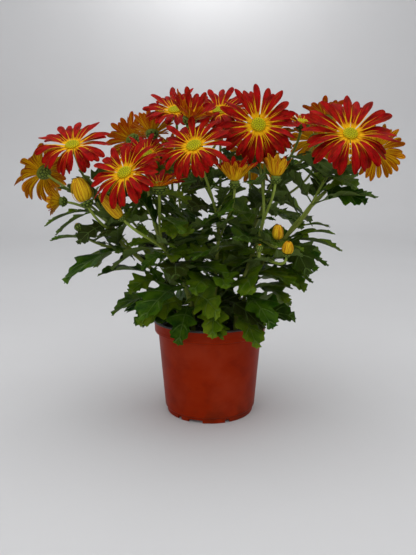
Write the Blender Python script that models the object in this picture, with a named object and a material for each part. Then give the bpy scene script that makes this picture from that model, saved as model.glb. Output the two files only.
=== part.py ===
# A pot chrysanthemum: a fan of leafy stems with daisy blooms, in a 12 cm plastic pot.
# Lengths are in millimetres and become metres as each mesh is made. +Z is up, the
# front is -Y, and the origin is the middle of the pot's foot, on the floor.
import math

import bmesh
import bpy
import numpy as np
from mathutils.bvhtree import BVHTree

MM = 0.001
GAP = 0.3                       # play between two pieces that sit on each other
CLEARANCE = 0.4                 # room that a leaf or stalk keeps round itself
UP = np.array((0.0, 0.0, 1.0))

# Pot: rim, collar, tapered wall, foot ring
POT_SIDES = 24
POT_HEIGHT = 100.0
RIM_RADIUS = 60.0
LIP_HEIGHT = 1.8
COLLAR_HEIGHT = 13.0
COLLAR_TOP_RADIUS = 58.6
COLLAR_FOOT_RADIUS = 57.8
NECK_RADIUS = 54.2
HEEL_RADIUS = 47.6
HEEL_HEIGHT = 6.5
HEEL_FILLET = 3.2               # inside, between floor and wall
STEP_HEIGHT = 1.5               # of the slope under the collar
RING_RADIUS = 45.5
RING_HEIGHT = 5.0
RING_WIDTH = 1.7
DRAFT = 0.3
WALL = 1.4
FLOOR_HEIGHT = 3.5
FLOOR_THICKNESS = 1.7
NOTCH_HEIGHT = 3.0
NOTCHES = ((-109, 15.0), (-133, 5.0), (-67, 5.0), (71, 15.0))    # turn, width
DRAINS = 4
DRAIN_SIDES = 6
DRAIN_RADIUS = 4.0
DRAIN_CIRCLE = 28.0

# Growing medium
SOIL_SIDES = 12
SOIL_TOP = 86.0
SOIL_RELIEF = 1.4
SOIL_SHOULDER = 47.2            # radii of its two rings of crumbs
SOIL_MIDDLE = 19.0
HOLE_FLOOR = 66.0
HOLE_SIDES = 6

# Stems
STEM_SIDES = 6
STALK_SIDES = 5
STEM_RADIUS = 2.1
STEM_TOP_RADIUS = 1.7
STALK_RADIUS = 1.25
STALK_POINTS = 4
STEM_POINTS = 6
STEM_UPRIGHT = 30.0             # the larger, the more upright the top of a main stem
STRAIGHT_TOP = 92.0             # a stem is upright in its hole and up to here

# Blooms, measured from the top of the receptacle along the bloom's axis
DRUM_RADIUS = 8.0
DRUM_DEPTH = 2.2
DRUM_TAPER = 0.92
CUPPED_DRUM_RADIUS = 7.0
CUP_DEPTH = 6.0
CUP_RADIUS = 6.8
CUP_SHAPE = ((0.0, 0.22), (0.4, 0.72), (1.0, 1.0))    # height and radius of the cup, as shares
ROOT_DEPTH = 0.7
DISC_RADIUS = 7.0
CUPPED_DISC_RADIUS = 5.0
DISC_HEIGHT = 3.0
DISC_SHAPE = ((0.1, 0.93), (0.42, 1.0), (0.88, 0.6))    # height and radius, as shares
DISC_TIP = 0.8                  # the middle is a little hollow
DISC_RELIEF = 0.35
DISC_SIDES = 7
RAY_ROOT_WIDTH = 2.0
RAY_STATIONS = (0.40, 0.82)
RAY_SPREAD = (0.72, 1.0)        # width at the stations, as a share of the widest
NECK_ROOM = 0.78                # most of the room between two rays that one takes at its first station
DRAW_IN = 0.02                  # of a root from the corners it shares, where rays are tested for crossing
RAY_KEEL = 1.1
RAY_FREE = 0.15                 # past this share of its length a ray is clear of the next one
RAY_FOOT = 0.05                 # past this share it is clear of all else
RAY_CLEARANCE = 0.45
NEXT_RAY_CLEARANCE = 0.12
RAY_SIZES = (1.0, 0.86, 0.72, 0.58)
RAY_BENDS = (0, 9, -9, 18, -18, 30, -30, 44, -44, -60)
RAY_LEANS = (0, 7, -7)
STEEPEST = 80.0                 # slope at the root that no ray exceeds

# Open blooms: place of the receptacle's top, turn and lift of the axis, reach, rays, slope
# of a ray at its root and at its tip, extra droop of the lower rays, stem that carries it
BLOOMS = {
    "01": dict(at=(-34, -10, 309), turn=-100, lift=60, reach=34, rays=17, start=30, end=0, hang=10, stem=7),
    "02": dict(at=(-60, 25, 290), turn=100, lift=60, reach=28, rays=14, start=50, end=30, hang=0, stem=7),
    "03": dict(at=(-84, 52, 284), turn=130, lift=35, reach=31, rays=14, start=40, end=5, hang=20, stem=7),
    "04": dict(at=(-18, -48, 300), turn=-50, lift=60, reach=32, rays=13, start=55, end=40, hang=0, stem=3),
    "05": dict(at=(9, -14, 308), turn=-95, lift=55, reach=33, rays=16, start=30, end=8, hang=20, stem=3),
    "06": dict(at=(44, -50, 293), turn=-87, lift=22, reach=38, rays=20, start=22, end=-8, hang=45, stem=4),
    "07": dict(at=(-14, -85, 273), turn=-112, lift=47, reach=35, rays=17, start=24, end=-8, hang=60, stem=3),
    "08": dict(at=(-75, -80, 250), turn=-116, lift=42, reach=36, rays=19, start=24, end=-4, hang=50, stem=2),
    "09": dict(at=(-46, -70, 239), turn=-90, lift=80, reach=27, rays=13, start=50, end=10, hang=0, stem=2),
    "10": dict(at=(-130, -35, 275), turn=-100, lift=56, reach=37, rays=19, start=26, end=-8, hang=60, stem=1),
    "11": dict(at=(-167, -4, 250), turn=142, lift=25, reach=34, rays=14, start=42, end=-45, hang=25, stem=1),
    "12": dict(at=(89, -20, 297), turn=-60, lift=72, reach=28, rays=13, start=40, end=-10, hang=10, stem=6),
    "13": dict(at=(125, -65, 284), turn=-88, lift=41, reach=43, rays=20, start=24, end=-10, hang=50, stem=5),
    "14": dict(at=(119, 25, 304), turn=100, lift=65, reach=31, rays=15, start=35, end=0, hang=20, stem=6),
    "15": dict(at=(116, 62, 284), turn=70, lift=30, reach=31, rays=13, start=25, end=0, hang=20, stem=6),
    "16": dict(at=(167, 2, 271), turn=62, lift=22, reach=31, rays=13, start=20, end=-20, hang=20, stem=5),
    "17": dict(at=(-62, -25, 267), turn=-85, lift=55, reach=28, rays=14, start=35, end=0, hang=20, stem=2),
    "18": dict(at=(10, 40, 300), turn=90, lift=65, reach=33, rays=13, start=28, end=-5, hang=30, stem=7),
    "19": dict(at=(62, 42, 286), turn=70, lift=55, reach=32, rays=13, start=28, end=-5, hang=30, stem=6),
    "20": dict(at=(-42, 84, 264), turn=110, lift=38, reach=34, rays=13, start=24, end=-8, hang=35, stem=7),
    "21": dict(at=(48, 88, 262), turn=75, lift=38, reach=34, rays=13, start=24, end=-8, hang=35, stem=6),
}
RAY_WIDTH = 6.6                 # of a bloom with the usual reach
USUAL_REACH = 34.0
CUPPED_SLOPE = 45               # rays that start steeper than this stand round a smaller disc
RAY_LAYER_SLOPE = 7.0           # every other ray stands this much steeper, its neighbours less
SLOPE_JITTER = 5.0
TURN_JITTER = 0.10              # of the space between two rays
LENGTH_JITTER = 0.07
SWAY_JITTER = 0.06

# Half-open blooms: place of the heart's foot, axis, reach and slopes of the short rays
HALF_OPEN = {
    "01": dict(at=(22, -70, 243), turn=-90, lift=84, reach=27, rays=12, start=68, end=52, stem=3),
    "02": dict(at=(60, -60, 247), turn=0, lift=86, reach=25, rays=11, start=76, end=66, stem=4),
    "03": dict(at=(-147, -22, 222), turn=180, lift=8, reach=19, rays=10, start=60, end=30, stem=1),
}
HALF_OPEN_SCALE = 0.8           # of the cup of an open bloom
HALF_OPEN_WIDTH = 6.0
HEART_RADIUS = 4.6
HEART_SHAPE = ((0.45, 0.66), (0.8, 0.42))             # height and radius of the heart, as shares
HEART_HEIGHT = 13.0

# Closed buds: place of the foot, axis, length and radius
BUDS = {
    "01": dict(at=(-116, -50, 224), turn=185, lift=68, length=22, radius=9.5, stem=1),
    "02": dict(at=(-80, -76, 211), turn=182, lift=48, length=27, radius=5.6, stem=2),
    "03": dict(at=(61, -75, 191), turn=-90, lift=84, length=13, radius=5.2, stem=4),
    "04": dict(at=(69, -82, 179), turn=-60, lift=80, length=11, radius=5.2, stem=4),
    "05": dict(at=(126, -22, 252), turn=20, lift=62, length=15, radius=6.0, stem=5),
}
BUD_SIDES = 8
BUD_SHAPE = ((0.0, 0.62), (0.28, 1.0), (0.62, 0.93), (0.9, 0.5))    # height and radius, as shares
BUD_CUP_RADIUS = 9.0            # of a bud whose cup is as large as an open bloom's
SMALL_BUDS = {
    "a": dict(at=(-126, -40, 198), turn=180, lift=60, radius=4.0, stem=1),
    "b": dict(at=(44, -85, 184), turn=-90, lift=80, radius=3.2, stem=4),
    "c": dict(at=(-82, -14, 212), turn=150, lift=70, radius=3.8, stem=2),
    "d": dict(at=(54, 18, 230), turn=60, lift=80, radius=3.8, stem=6),
    "e": dict(at=(112, 38, 262), turn=60, lift=70, radius=3.4, stem=6),
}
SMALL_BUD_SHAPE = ((-1.0, 0.4), (-0.4, 0.9), (0.5, 1.0))    # height and radius, as shares of the radius
SMALL_BUD_TIP = 1.1

# Stems: foot in the soil, top of the main stem, where its leaves start to turn from
STEMS = {
    1: dict(foot=(-31, -8), top=(-98, -36, 198), turn=200),
    2: dict(foot=(-17, -27), top=(-52, -55, 202), turn=250),
    3: dict(foot=(4, -33), top=(9, -48, 214), turn=270),
    4: dict(foot=(26, -23), top=(50, -48, 204), turn=300),
    5: dict(foot=(33, 5), top=(102, -22, 222), turn=0),
    6: dict(foot=(18, 27), top=(62, 42, 224), turn=60),
    7: dict(foot=(-18, 26), top=(-40, 36, 226), turn=120),
}
FIRST_FORK = 0.58               # the lowest stalk leaves its stem at this share of its length
LAST_FORK = 0.99
STALK_SWINGS = (0, 6, 12, 18, 26, 34)

# Leaves: side of a blade as (share of the length, half width as a share of the length), and the
# shares of the length at which its rib has a point
LOBED = dict(edge=((0.0, 0.013), (0.18, 0.026), (0.32, 0.26), (0.44, 0.16), (0.62, 0.34), (0.73, 0.20),
                   (0.86, 0.22)),
             rib=(0.0, 0.18, 0.60))
BRACT = dict(edge=((0.0, 0.020), (0.36, 0.20), (0.50, 0.12), (0.72, 0.21)), rib=(0.0, 0.50))
LEAF_THICKNESS = 1.3
LEAF_FOLD = 0.22                # how far the edges stand above the rib, as a share of the half width
LEAF_PITCH = 8.0                # rise from one leaf to the next on a main stem
LEAF_ROLL = 50.0                # most that a leaf leans to one side
LEAF_ARCH = 0.13                # height of a leaf's arch, as a share of its length
LEAF_DROOP = (-34.0, 14.0)      # lowest and highest pitch of the line from a leaf's root to its tip
GOLDEN_TURN = 137.5
LOWEST_LEAF = 0.18              # shares of a main stem between which its leaves stand
HIGHEST_LEAF = 0.98
LEAF_SIZES = (1.0, 0.85, 0.7, 0.58)
LEAF_TURNS = (0, 12, -12, 24, -24, 38, -38, 54, -54)
LEAF_LIFTS = (0, 12, -12, 24, -24, 36, -36)
LOW_LEAF = 60.0
HIGH_LEAF = 58.0
STALK_LEAVES = ((0.16, 0.32, 46.0, LOBED), (0.50, 0.68, 24.0, BRACT))    # lowest and highest share, length
STALK_LEAF_JITTER = 5.0
STALK_LEAF_PITCH = (-20.0, 30.0)
STALK_LEAF_ARCH = 0.06
OUTER_ARCH = 0.10

# Leaves that hang over the rim or stand out of the outline: stem, share of its length, tip
OUTER_LEAVES = (
    (5, 0.92, (164, -16, 228)), (5, 0.76, (132, -34, 176)), (5, 0.68, (128, -4, 188)),
    (5, 0.54, (104, -42, 157)), (4, 0.54, (82, -62, 146)), (5, 0.36, (78, -36, 124)),
    (1, 0.94, (-166, -22, 198)), (1, 0.80, (-152, -46, 180)), (1, 0.68, (-118, -62, 168)),
    (1, 0.52, (-112, -30, 150)), (1, 0.38, (-98, -34, 110)), (1, 0.27, (-68, -28, 96)),
    (2, 0.34, (-30, -74, 91)), (4, 0.30, (44, -72, 88)), (3, 0.34, (2, -80, 99)),
    (4, 0.33, (40, -52, 112)), (2, 0.48, (-62, -86, 118)), (4, 0.42, (58, -78, 108)),
    (3, 0.50, (14, -96, 150)), (2, 0.64, (-30, -102, 160)), (3, 0.72, (-24, -84, 196)),
)
SEED = 11
FLAT = math.radians(1.0)        # faces that meet flatter than this are merged after a Boolean


def unit(vector):
    """The vector at length one."""
    vector = np.asarray(vector, float)
    return vector / np.linalg.norm(vector)


def heading(turn, lift):
    """Unit vector at a turn round +Z (0 is +X, 90 is +Y) and a lift above the level, in degrees."""
    turn, lift = math.radians(turn), math.radians(lift)
    return np.array((math.cos(lift) * math.cos(turn), math.cos(lift) * math.sin(turn), math.sin(lift)))


def cross_axes(axis):
    """Two unit vectors square to the axis: one level, and one that looks up."""
    level = np.cross(UP, axis)
    level = np.array((1.0, 0.0, 0.0)) if np.linalg.norm(level) < 1e-6 else unit(level)
    return level, np.cross(axis, level)


def outward(verts, faces):
    """The solid with its faces turned outwards: they are flipped where the volume comes out negative."""
    volume = sum(float(np.dot(verts[f[0]], np.cross(verts[f[k]], verts[f[k + 1]])))
                 for f in faces for k in range(1, len(f) - 1))
    return (verts, faces) if volume > 0 else (verts, [tuple(reversed(f)) for f in faces])


def loft(rings, tip=None, foot=None):
    """Closed solid through rings of equally many points, ended by flat caps or by points."""
    rings = np.asarray(rings, float)
    count, sides = rings.shape[:2]
    verts = rings.reshape(-1, 3)
    faces = []
    for row in range(count - 1):
        for k in range(sides):
            a, b = row * sides + k, row * sides + (k + 1) % sides
            faces += [(a, b, b + sides), (a, b + sides, a + sides)]
    last = (count - 1) * sides
    if foot is None:
        faces.append(tuple(range(sides - 1, -1, -1)))
    else:
        verts = np.vstack((verts, foot))
        faces += [((k + 1) % sides, k, len(verts) - 1) for k in range(sides)]
    if tip is None:
        faces.append(tuple(last + k for k in range(sides)))
    else:
        verts = np.vstack((verts, tip))
        faces += [(last + k, last + (k + 1) % sides, len(verts) - 1) for k in range(sides)]
    return outward(verts, faces)


def turned(at, axis, profile, sides, tip=None, foot=None, waves=0.0):
    """Solid of revolution: profile points are (height, radius), waves lift every other point."""
    level, lift = cross_axes(axis)
    at = np.asarray(at, float)
    angle = np.arange(sides) * 2 * math.pi / sides
    spoke = np.cos(angle)[:, None] * level + np.sin(angle)[:, None] * lift
    wave = waves * np.where(np.arange(sides) % 2, 1.0, -1.0)[:, None] * axis
    rings = [at + h * axis + r * spoke + (wave if k else 0.0) for k, (h, r) in enumerate(profile)]
    ends = [None if h is None else at + h * axis for h in (tip, foot)]
    return loft(rings, *ends)


def bezier(points, count):
    """Points on a cubic curve at even steps of its parameter."""
    t = np.linspace(0.0, 1.0, count)[:, None]
    a, b, c, d = (np.asarray(p, float) for p in points)
    return a * (1 - t) ** 3 + 3 * b * t * (1 - t) ** 2 + 3 * c * t ** 2 * (1 - t) + d * t ** 3


def tube(path, radii, sides, swell=0.0, tip=None):
    """Tube along a path, its section carried from point to point without twist."""
    path = np.asarray(path, float)
    tangents = np.gradient(path, axis=0)
    side = cross_axes(unit(tangents[0]))[0]
    angle = np.arange(sides) * 2 * math.pi / sides
    rings = []
    for point, tangent, radius in zip(path, tangents, radii):
        tangent = unit(tangent)
        side = unit(side - tangent * np.dot(side, tangent))
        other = np.cross(tangent, side)
        spoke = np.cos(angle)[:, None] * side + np.sin(angle)[:, None] * other
        rings.append(point + (radius + swell) * spoke)
    return loft(rings, tip=tip)


def ray_line(ray, s):
    """Points of a ray's middle line at shares s of its length, with the slope turning evenly from
    start to end, and the unit vectors across it and square to its face."""
    s = np.asarray(s, float)
    start, end = math.radians(ray["start"]), math.radians(ray["end"])
    bend = end - start if abs(end - start) > 1e-4 else 1e-4
    slope = start + bend * s
    out = ray["root"] + ray["length"] * (np.sin(slope) - math.sin(start)) / bend
    rise = -ROOT_DEPTH + ray["length"] * (math.cos(start) - np.cos(slope)) / bend
    axis, spoke = ray["axis"], ray["spoke"]
    face = np.cos(slope)[:, None] * axis - np.sin(slope)[:, None] * spoke
    across = np.cross(axis, spoke)
    line = ray["at"] + out[:, None] * spoke + rise[:, None] * axis
    line = line + (ray["sway"] * ray["length"] * s ** 2)[:, None] * across
    return line, across, face


def ray_sections(ray, stations, swell=0.0):
    """Three-cornered sections of a ray, flat above and keeled below, and its tip."""
    line, across, face = ray_line(ray, (*stations, 1.0))
    spread = np.interp(stations, (0.0, *RAY_STATIONS), (0.0, *RAY_SPREAD))
    width = RAY_ROOT_WIDTH + (ray["width"] - RAY_ROOT_WIDTH) * spread
    room = NECK_ROOM * 2 * math.pi * ((line[:-1] - ray["at"]) @ ray["spoke"]) / ray["count"]
    neck = np.asarray(stations) <= RAY_STATIONS[0]
    width = np.where(neck, np.minimum(width, room), width) + 2 * swell
    rings = []
    for point, w, normal in zip(line, width, face):
        top = point + swell * 0.8 * normal
        rings.append((top - across * w / 2, top + across * w / 2, point - (RAY_KEEL + swell) * normal))
    return np.array(rings), line[-1] + swell * (line[-1] - line[-2]) / 8


def ray_blade(ray, first, swell=0.0):
    """A ray by itself from the share first of its length on, with room of swell round it."""
    rings, tip = ray_sections(ray, (first, *RAY_STATIONS), swell)
    return loft(rings, tip=tip)


def ray_faces(t0, t1, b0, b1, at):
    """Faces of a ray from the four corners of its side of the receptacle to its tip, whose points
    start at the number at, and the number after its tip."""
    left, right, keel = at, at + 1, at + 2
    faces = [(t0, left, right), (t0, right, t1), (b0, keel, left), (b0, left, t0),
             (b1, right, keel), (b1, t1, right), (b0, b1, keel)]
    for row in range(len(RAY_STATIONS) - 1):
        l0, r0, k0 = at + 3 * row, at + 3 * row + 1, at + 3 * row + 2
        l1, r1, k1 = l0 + 3, r0 + 3, k0 + 3
        faces += [(l0, l1, r1), (l0, r1, r0), (k0, k1, l1), (k0, l1, l0), (k0, r1, k1), (k0, r0, r1)]
    end = at + 3 * len(RAY_STATIONS)
    l0, r0, k0 = end - 3, end - 2, end - 1
    faces += [(l0, end, r0), (k0, end, l0), (k0, r0, end)]
    return faces, end + 1


def rooted_ray(ray):
    """A ray by itself with its root on its side of the receptacle, drawn in from the shared corners."""
    rings, tip = ray_sections(ray, RAY_STATIONS)
    faces = ray_faces(0, 1, 2, 3, 4)[0] + [(0, 1, 3, 2)]
    return outward(np.vstack((ray["corners"], rings.reshape(-1, 3), tip)), faces)


def ring_of_rays(bloom, heart=None):
    """One body: a receptacle with a ray raised from each of its sides, narrow at the root and
    widest near the blunt tip. A heart (height, radius) closes the top of a half-open bloom."""
    rays = bloom["fitted"]
    n = len(rays)
    level, lift = cross_axes(bloom["axis"])
    corner = 2 * math.pi * (np.arange(n) - 0.5)[:, None] / n
    rim = bloom["drum_radius"] * (np.cos(corner) * level + np.sin(corner) * lift)
    verts = [bloom["at"] + rim, bloom["at"] + rim * DRUM_TAPER - DRUM_DEPTH * bloom["axis"]]
    faces, at = [], 2 * n
    for k, ray in enumerate(rays):
        t0, t1, b0, b1 = k, (k + 1) % n, n + k, n + (k + 1) % n
        if ray is None:
            faces += [(t0, b0, b1), (t0, b1, t1)]
            continue
        rings, tip = ray_sections(ray, RAY_STATIONS)
        verts += [rings.reshape(-1, 3), tip[None]]
        blade, at = ray_faces(t0, t1, b0, b1, at)
        faces += blade
    faces.append(tuple(range(2 * n - 1, n - 1, -1)))
    if heart is None:
        faces.append(tuple(range(n)))
    else:
        below = 0
        spoke = rim / bloom["drum_radius"]
        for h, r in HEART_SHAPE:
            verts.append(bloom["at"] + spoke * r * heart[1] + h * heart[0] * bloom["axis"])
            for k in range(n):
                a, b = below + k, below + (k + 1) % n
                c, d = at + (k + 1) % n, at + k
                faces += [(a, b, c), (a, c, d)]
            below, at = at, at + n
        verts.append((bloom["at"] + heart[0] * bloom["axis"])[None])
        faces += [(below + k, below + (k + 1) % n, at) for k in range(n)]
    return outward(np.vstack(verts), faces)


def leaf_blade(leaf, swell=0.0):
    """A lobed leaf: its rib arches from root to tip, its cut edges stand a little above the rib."""
    root, tip = np.asarray(leaf["root"], float), np.asarray(leaf["tip"], float)
    edge, rib = np.array(leaf["shape"]["edge"]), np.array(leaf["shape"]["rib"])
    span = tip - root
    length = float(np.linalg.norm(span))
    level, lift = cross_axes(span / length)
    roll = math.radians(leaf["roll"])
    side = math.cos(roll) * level + math.sin(roll) * lift
    face = np.cross(span / length, side)

    def line(s):
        return root + span * s[:, None] + (leaf["arch"] * length * 4 * s * (1 - s))[:, None] * UP

    width = edge[:, 1] * length + swell
    rise = width[:, None] * LEAF_FOLD * face
    left = line(edge[:, 0]) + width[:, None] * side + rise
    right = line(edge[:, 0]) - width[:, None] * side + rise
    thick = (LEAF_THICKNESS / 2 + swell) * face
    n, m = len(edge), len(rib)
    verts = np.vstack((left, right, line(rib) + thick, line(rib) - thick, tip + 2 * swell * span / length))
    faces = []
    upper, lower, end = 2 * n, 2 * n + m, 2 * (n + m)
    for edge_start, rib_start, flip in ((0, upper, False), (n, upper, True),
                                        (0, lower, True), (n, lower, False)):
        first = {"edge": edge_start, "rib": rib_start, "tip": end}
        for corners in half_strip(edge[:, 0], rib):
            ids = [first[kind] + k for kind, k in corners]
            faces.append(tuple(reversed(ids)) if flip else tuple(ids))
    faces.append((0, 2 * n, n, 2 * n + m))
    return outward(verts, faces)


def half_strip(edge, rib):
    """Triangles between the rib and one edge of a leaf, from root to tip, where both lines end."""
    line_edge = [("edge", k) for k in range(len(edge))] + [("tip", 0)]
    line_rib = [("rib", k) for k in range(len(rib))] + [("tip", 0)]
    edge, rib = [*edge, 1.0], [*rib, 1.0]
    k = r = 0
    strip = []
    while (k, r) != (len(edge) - 1, len(rib) - 1):
        if r == len(rib) - 1 or (k < len(edge) - 1 and edge[k + 1] <= rib[r + 1]):
            new, k = line_edge[k + 1], k + 1
            corners = (line_rib[r], line_edge[k - 1], new)
        else:
            new, r = line_rib[r + 1], r + 1
            corners = (line_rib[r - 1], line_edge[k], new)
        if len(set(corners)) == 3:
            strip.append(corners)
    return strip


class Space:
    """Everything placed so far, so that a new piece can be bent clear of it."""

    def __init__(self):
        self.solids, self.trees = {}, {}

    def add(self, key, solid):
        self.solids.setdefault(key, []).append(solid)
        self.trees[key] = tree_of(self.solids[key])

    def is_clear(self, solid, skip=()):
        tree = tree_of([solid])
        return not any(tree.overlap(other) for key, other in self.trees.items() if key not in skip)


def tree_of(solids):
    """Search tree over the faces of several solids."""
    verts, faces, start = [], [], 0
    for points, polygons in solids:
        verts += points.tolist()
        faces += [[k + start for k in polygon] for polygon in polygons]
        start += len(points)
    return BVHTree.FromPolygons(verts, faces)


def cup_rings(spot):
    """Heights along the axis and radii of the green cup (involucre), its top GAP below what it holds."""
    depth, top = CUP_DEPTH * spot["scale"], -spot["drum_depth"] - GAP
    return [(top - depth * (1 - h), CUP_RADIUS * spot["scale"] * r) for h, r in CUP_SHAPE]


def small_bud_rings(bud):
    """Heights and radii of a small green bud that swells from the end of its stalk."""
    return [(h * bud["radius"], r * bud["radius"]) for h, r in SMALL_BUD_SHAPE]


def drum_of(bloom):
    """The bare receptacle."""
    profile = [(-bloom["drum_depth"], bloom["drum_radius"]), (0.0, bloom["drum_radius"])]
    return turned(bloom["at"], bloom["axis"], profile, 12)


def disc_of(bloom):
    """The domed disc of florets, its rings of points raised and lowered in turn."""
    profile = [(DISC_HEIGHT * h, bloom["disc_radius"] * r) for h, r in DISC_SHAPE]
    return turned(bloom["at"], bloom["axis"], profile, DISC_SIDES, tip=DISC_HEIGHT * DISC_TIP,
                  waves=DISC_RELIEF)


def bud_of(bud):
    """A closed bud: an egg on its foot."""
    profile = [(bud["length"] * h, bud["radius"] * r) for h, r in BUD_SHAPE]
    return turned(bud["at"], bud["axis"], profile, BUD_SIDES, tip=bud["length"])


def heart_of(bloom):
    """The bare heart of a half-open bloom."""
    profile = [(-bloom["drum_depth"], bloom["drum_radius"]), (0.0, bloom["drum_radius"])]
    profile += [(h * HEART_HEIGHT, r * HEART_RADIUS) for h, r in HEART_SHAPE]
    return turned(bloom["at"], bloom["axis"], profile, 12, tip=HEART_HEIGHT)


def heart_core(bloom):
    """The heart above its foot, which the rays round it keep clear of."""
    profile = [(0.1 * HEART_HEIGHT, 0.8 * HEART_RADIUS)]
    profile += [(h * HEART_HEIGHT, r * HEART_RADIUS) for h, r in HEART_SHAPE]
    return turned(bloom["at"], bloom["axis"], profile, 12, tip=HEART_HEIGHT)


def rays_of(bloom, rng):
    """The rays of one bloom, evenly round it with a seeded jitter, in two layers of slope."""
    level, lift = cross_axes(bloom["axis"])
    rays = []
    drop = np.array((1.0, 1.0, DRUM_TAPER, DRUM_TAPER))[:, None]
    below = np.array((0.0, 0.0, DRUM_DEPTH, DRUM_DEPTH))[:, None]
    side = np.array((-0.5, 0.5, -0.5, 0.5))[:, None] * (1 - DRAW_IN)
    for k in range(bloom["rays"]):
        turn = 2 * math.pi * (k + side) / bloom["rays"]
        corners = bloom["drum_radius"] * drop * (np.cos(turn) * level + np.sin(turn) * lift)
        jitter = rng.uniform(-1.0, 1.0, 5)
        angle = 2 * math.pi * (k + TURN_JITTER * jitter[0]) / bloom["rays"]
        spoke = math.cos(angle) * level + math.sin(angle) * lift
        root = bloom["drum_radius"] * math.cos(math.pi / bloom["rays"])
        layer = RAY_LAYER_SLOPE * (1 if k % 2 else -1)
        low = max(0.0, -math.sin(angle))
        rays.append(dict(
            at=bloom["at"], axis=bloom["axis"], spoke=spoke, root=root, count=bloom["rays"],
            corners=bloom["at"] + corners - below * bloom["axis"],
            start=min(STEEPEST, bloom["start"] + layer + SLOPE_JITTER * jitter[1]),
            end=bloom["end"] + layer + 2 * SLOPE_JITTER * jitter[2] - bloom["hang"] * low,
            length=(bloom["reach"] - root) * (1 + LENGTH_JITTER * jitter[3]),
            width=bloom["width"] * (1 - 0.5 * LENGTH_JITTER * jitter[3]), sway=SWAY_JITTER * jitter[4]))
    return rays


def fitted_ray(ray, space, skip, near, roots):
    """The ray, bent up or down or shortened as little as it takes to be clear, or None. The rays
    near it in its own bloom touch it at the corners of its root, and must not cross it there."""
    for size in RAY_SIZES:
        for bend in RAY_BENDS:
            for lean in RAY_LEANS:
                trial = dict(ray, end=ray["end"] + bend, start=min(STEEPEST, ray["start"] + lean),
                             length=ray["length"] * size)
                free = near.is_clear(ray_blade(trial, RAY_FREE, NEXT_RAY_CLEARANCE))
                free = free and roots.is_clear(rooted_ray(trial))
                if free and space.is_clear(ray_blade(trial, RAY_FOOT, RAY_CLEARANCE), skip):
                    return trial
    return None


def fitted_leaf(leaf, space, skip):
    """The leaf, turned, lifted or shortened as little as it takes to be clear, or None."""
    root = np.asarray(leaf["root"], float)
    span = np.asarray(leaf["tip"], float) - root
    length = float(np.linalg.norm(span))
    turn = math.degrees(math.atan2(span[1], span[0]))
    lift = math.degrees(math.asin(span[2] / length))
    for size in LEAF_SIZES:
        for side in LEAF_TURNS:
            for rise in LEAF_LIFTS:
                tip = root + heading(turn + side, lift + rise) * length * size
                trial = dict(leaf, tip=tip)
                if space.is_clear(leaf_blade(trial, CLEARANCE), skip):
                    return trial
    return None


def stalk_points(spot, stem, share):
    """Control points of a stalk from a place on its main stem to the cup, which it meets along its axis."""
    start = point_at(stem["path"], share)
    along = unit(point_at(stem["path"], min(share + 0.02, 1.0)) - point_at(stem["path"], share - 0.02))
    end = spot["at"] + spot["axis"] * spot["rings"][0][0]
    reach = float(np.linalg.norm(end - start))
    return [start, start + (along * 0.6 + UP * 0.4) * reach * 0.33, end - spot["axis"] * reach * 0.34, end]


def fitted_stalk(points, radii, space, skip):
    """The stalk's path, its middle swung aside as little as it takes to be clear."""
    side, other = cross_axes(unit(points[3] - points[0]))
    for swing in STALK_SWINGS:
        for turn in range(0, 360, 45 if swing else 360):
            shift = swing * (math.cos(math.radians(turn)) * side + math.sin(math.radians(turn)) * other)
            path = bezier((points[0], points[1] + shift, points[2] + 0.6 * shift, points[3]), STALK_POINTS)
            if space.is_clear(tube(path, radii, STALK_SIDES, CLEARANCE), skip):
                return path
    return bezier(points, STALK_POINTS)


def grown_stalk(path, radii, spot):
    """A stalk and the cup or the small bud that it ends in, as one solid."""
    rings = [(spot["at"] + h * spot["axis"], r) for h, r in spot["rings"][1:]]
    path = np.vstack([path] + [point for point, r in rings])
    radii = np.append(radii, [r for point, r in rings])
    tip = spot["at"] + spot["radius"] * SMALL_BUD_TIP * spot["axis"] if spot["kind"] == "small" else None
    return tube(path, radii, STALK_SIDES, tip=tip)


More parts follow.
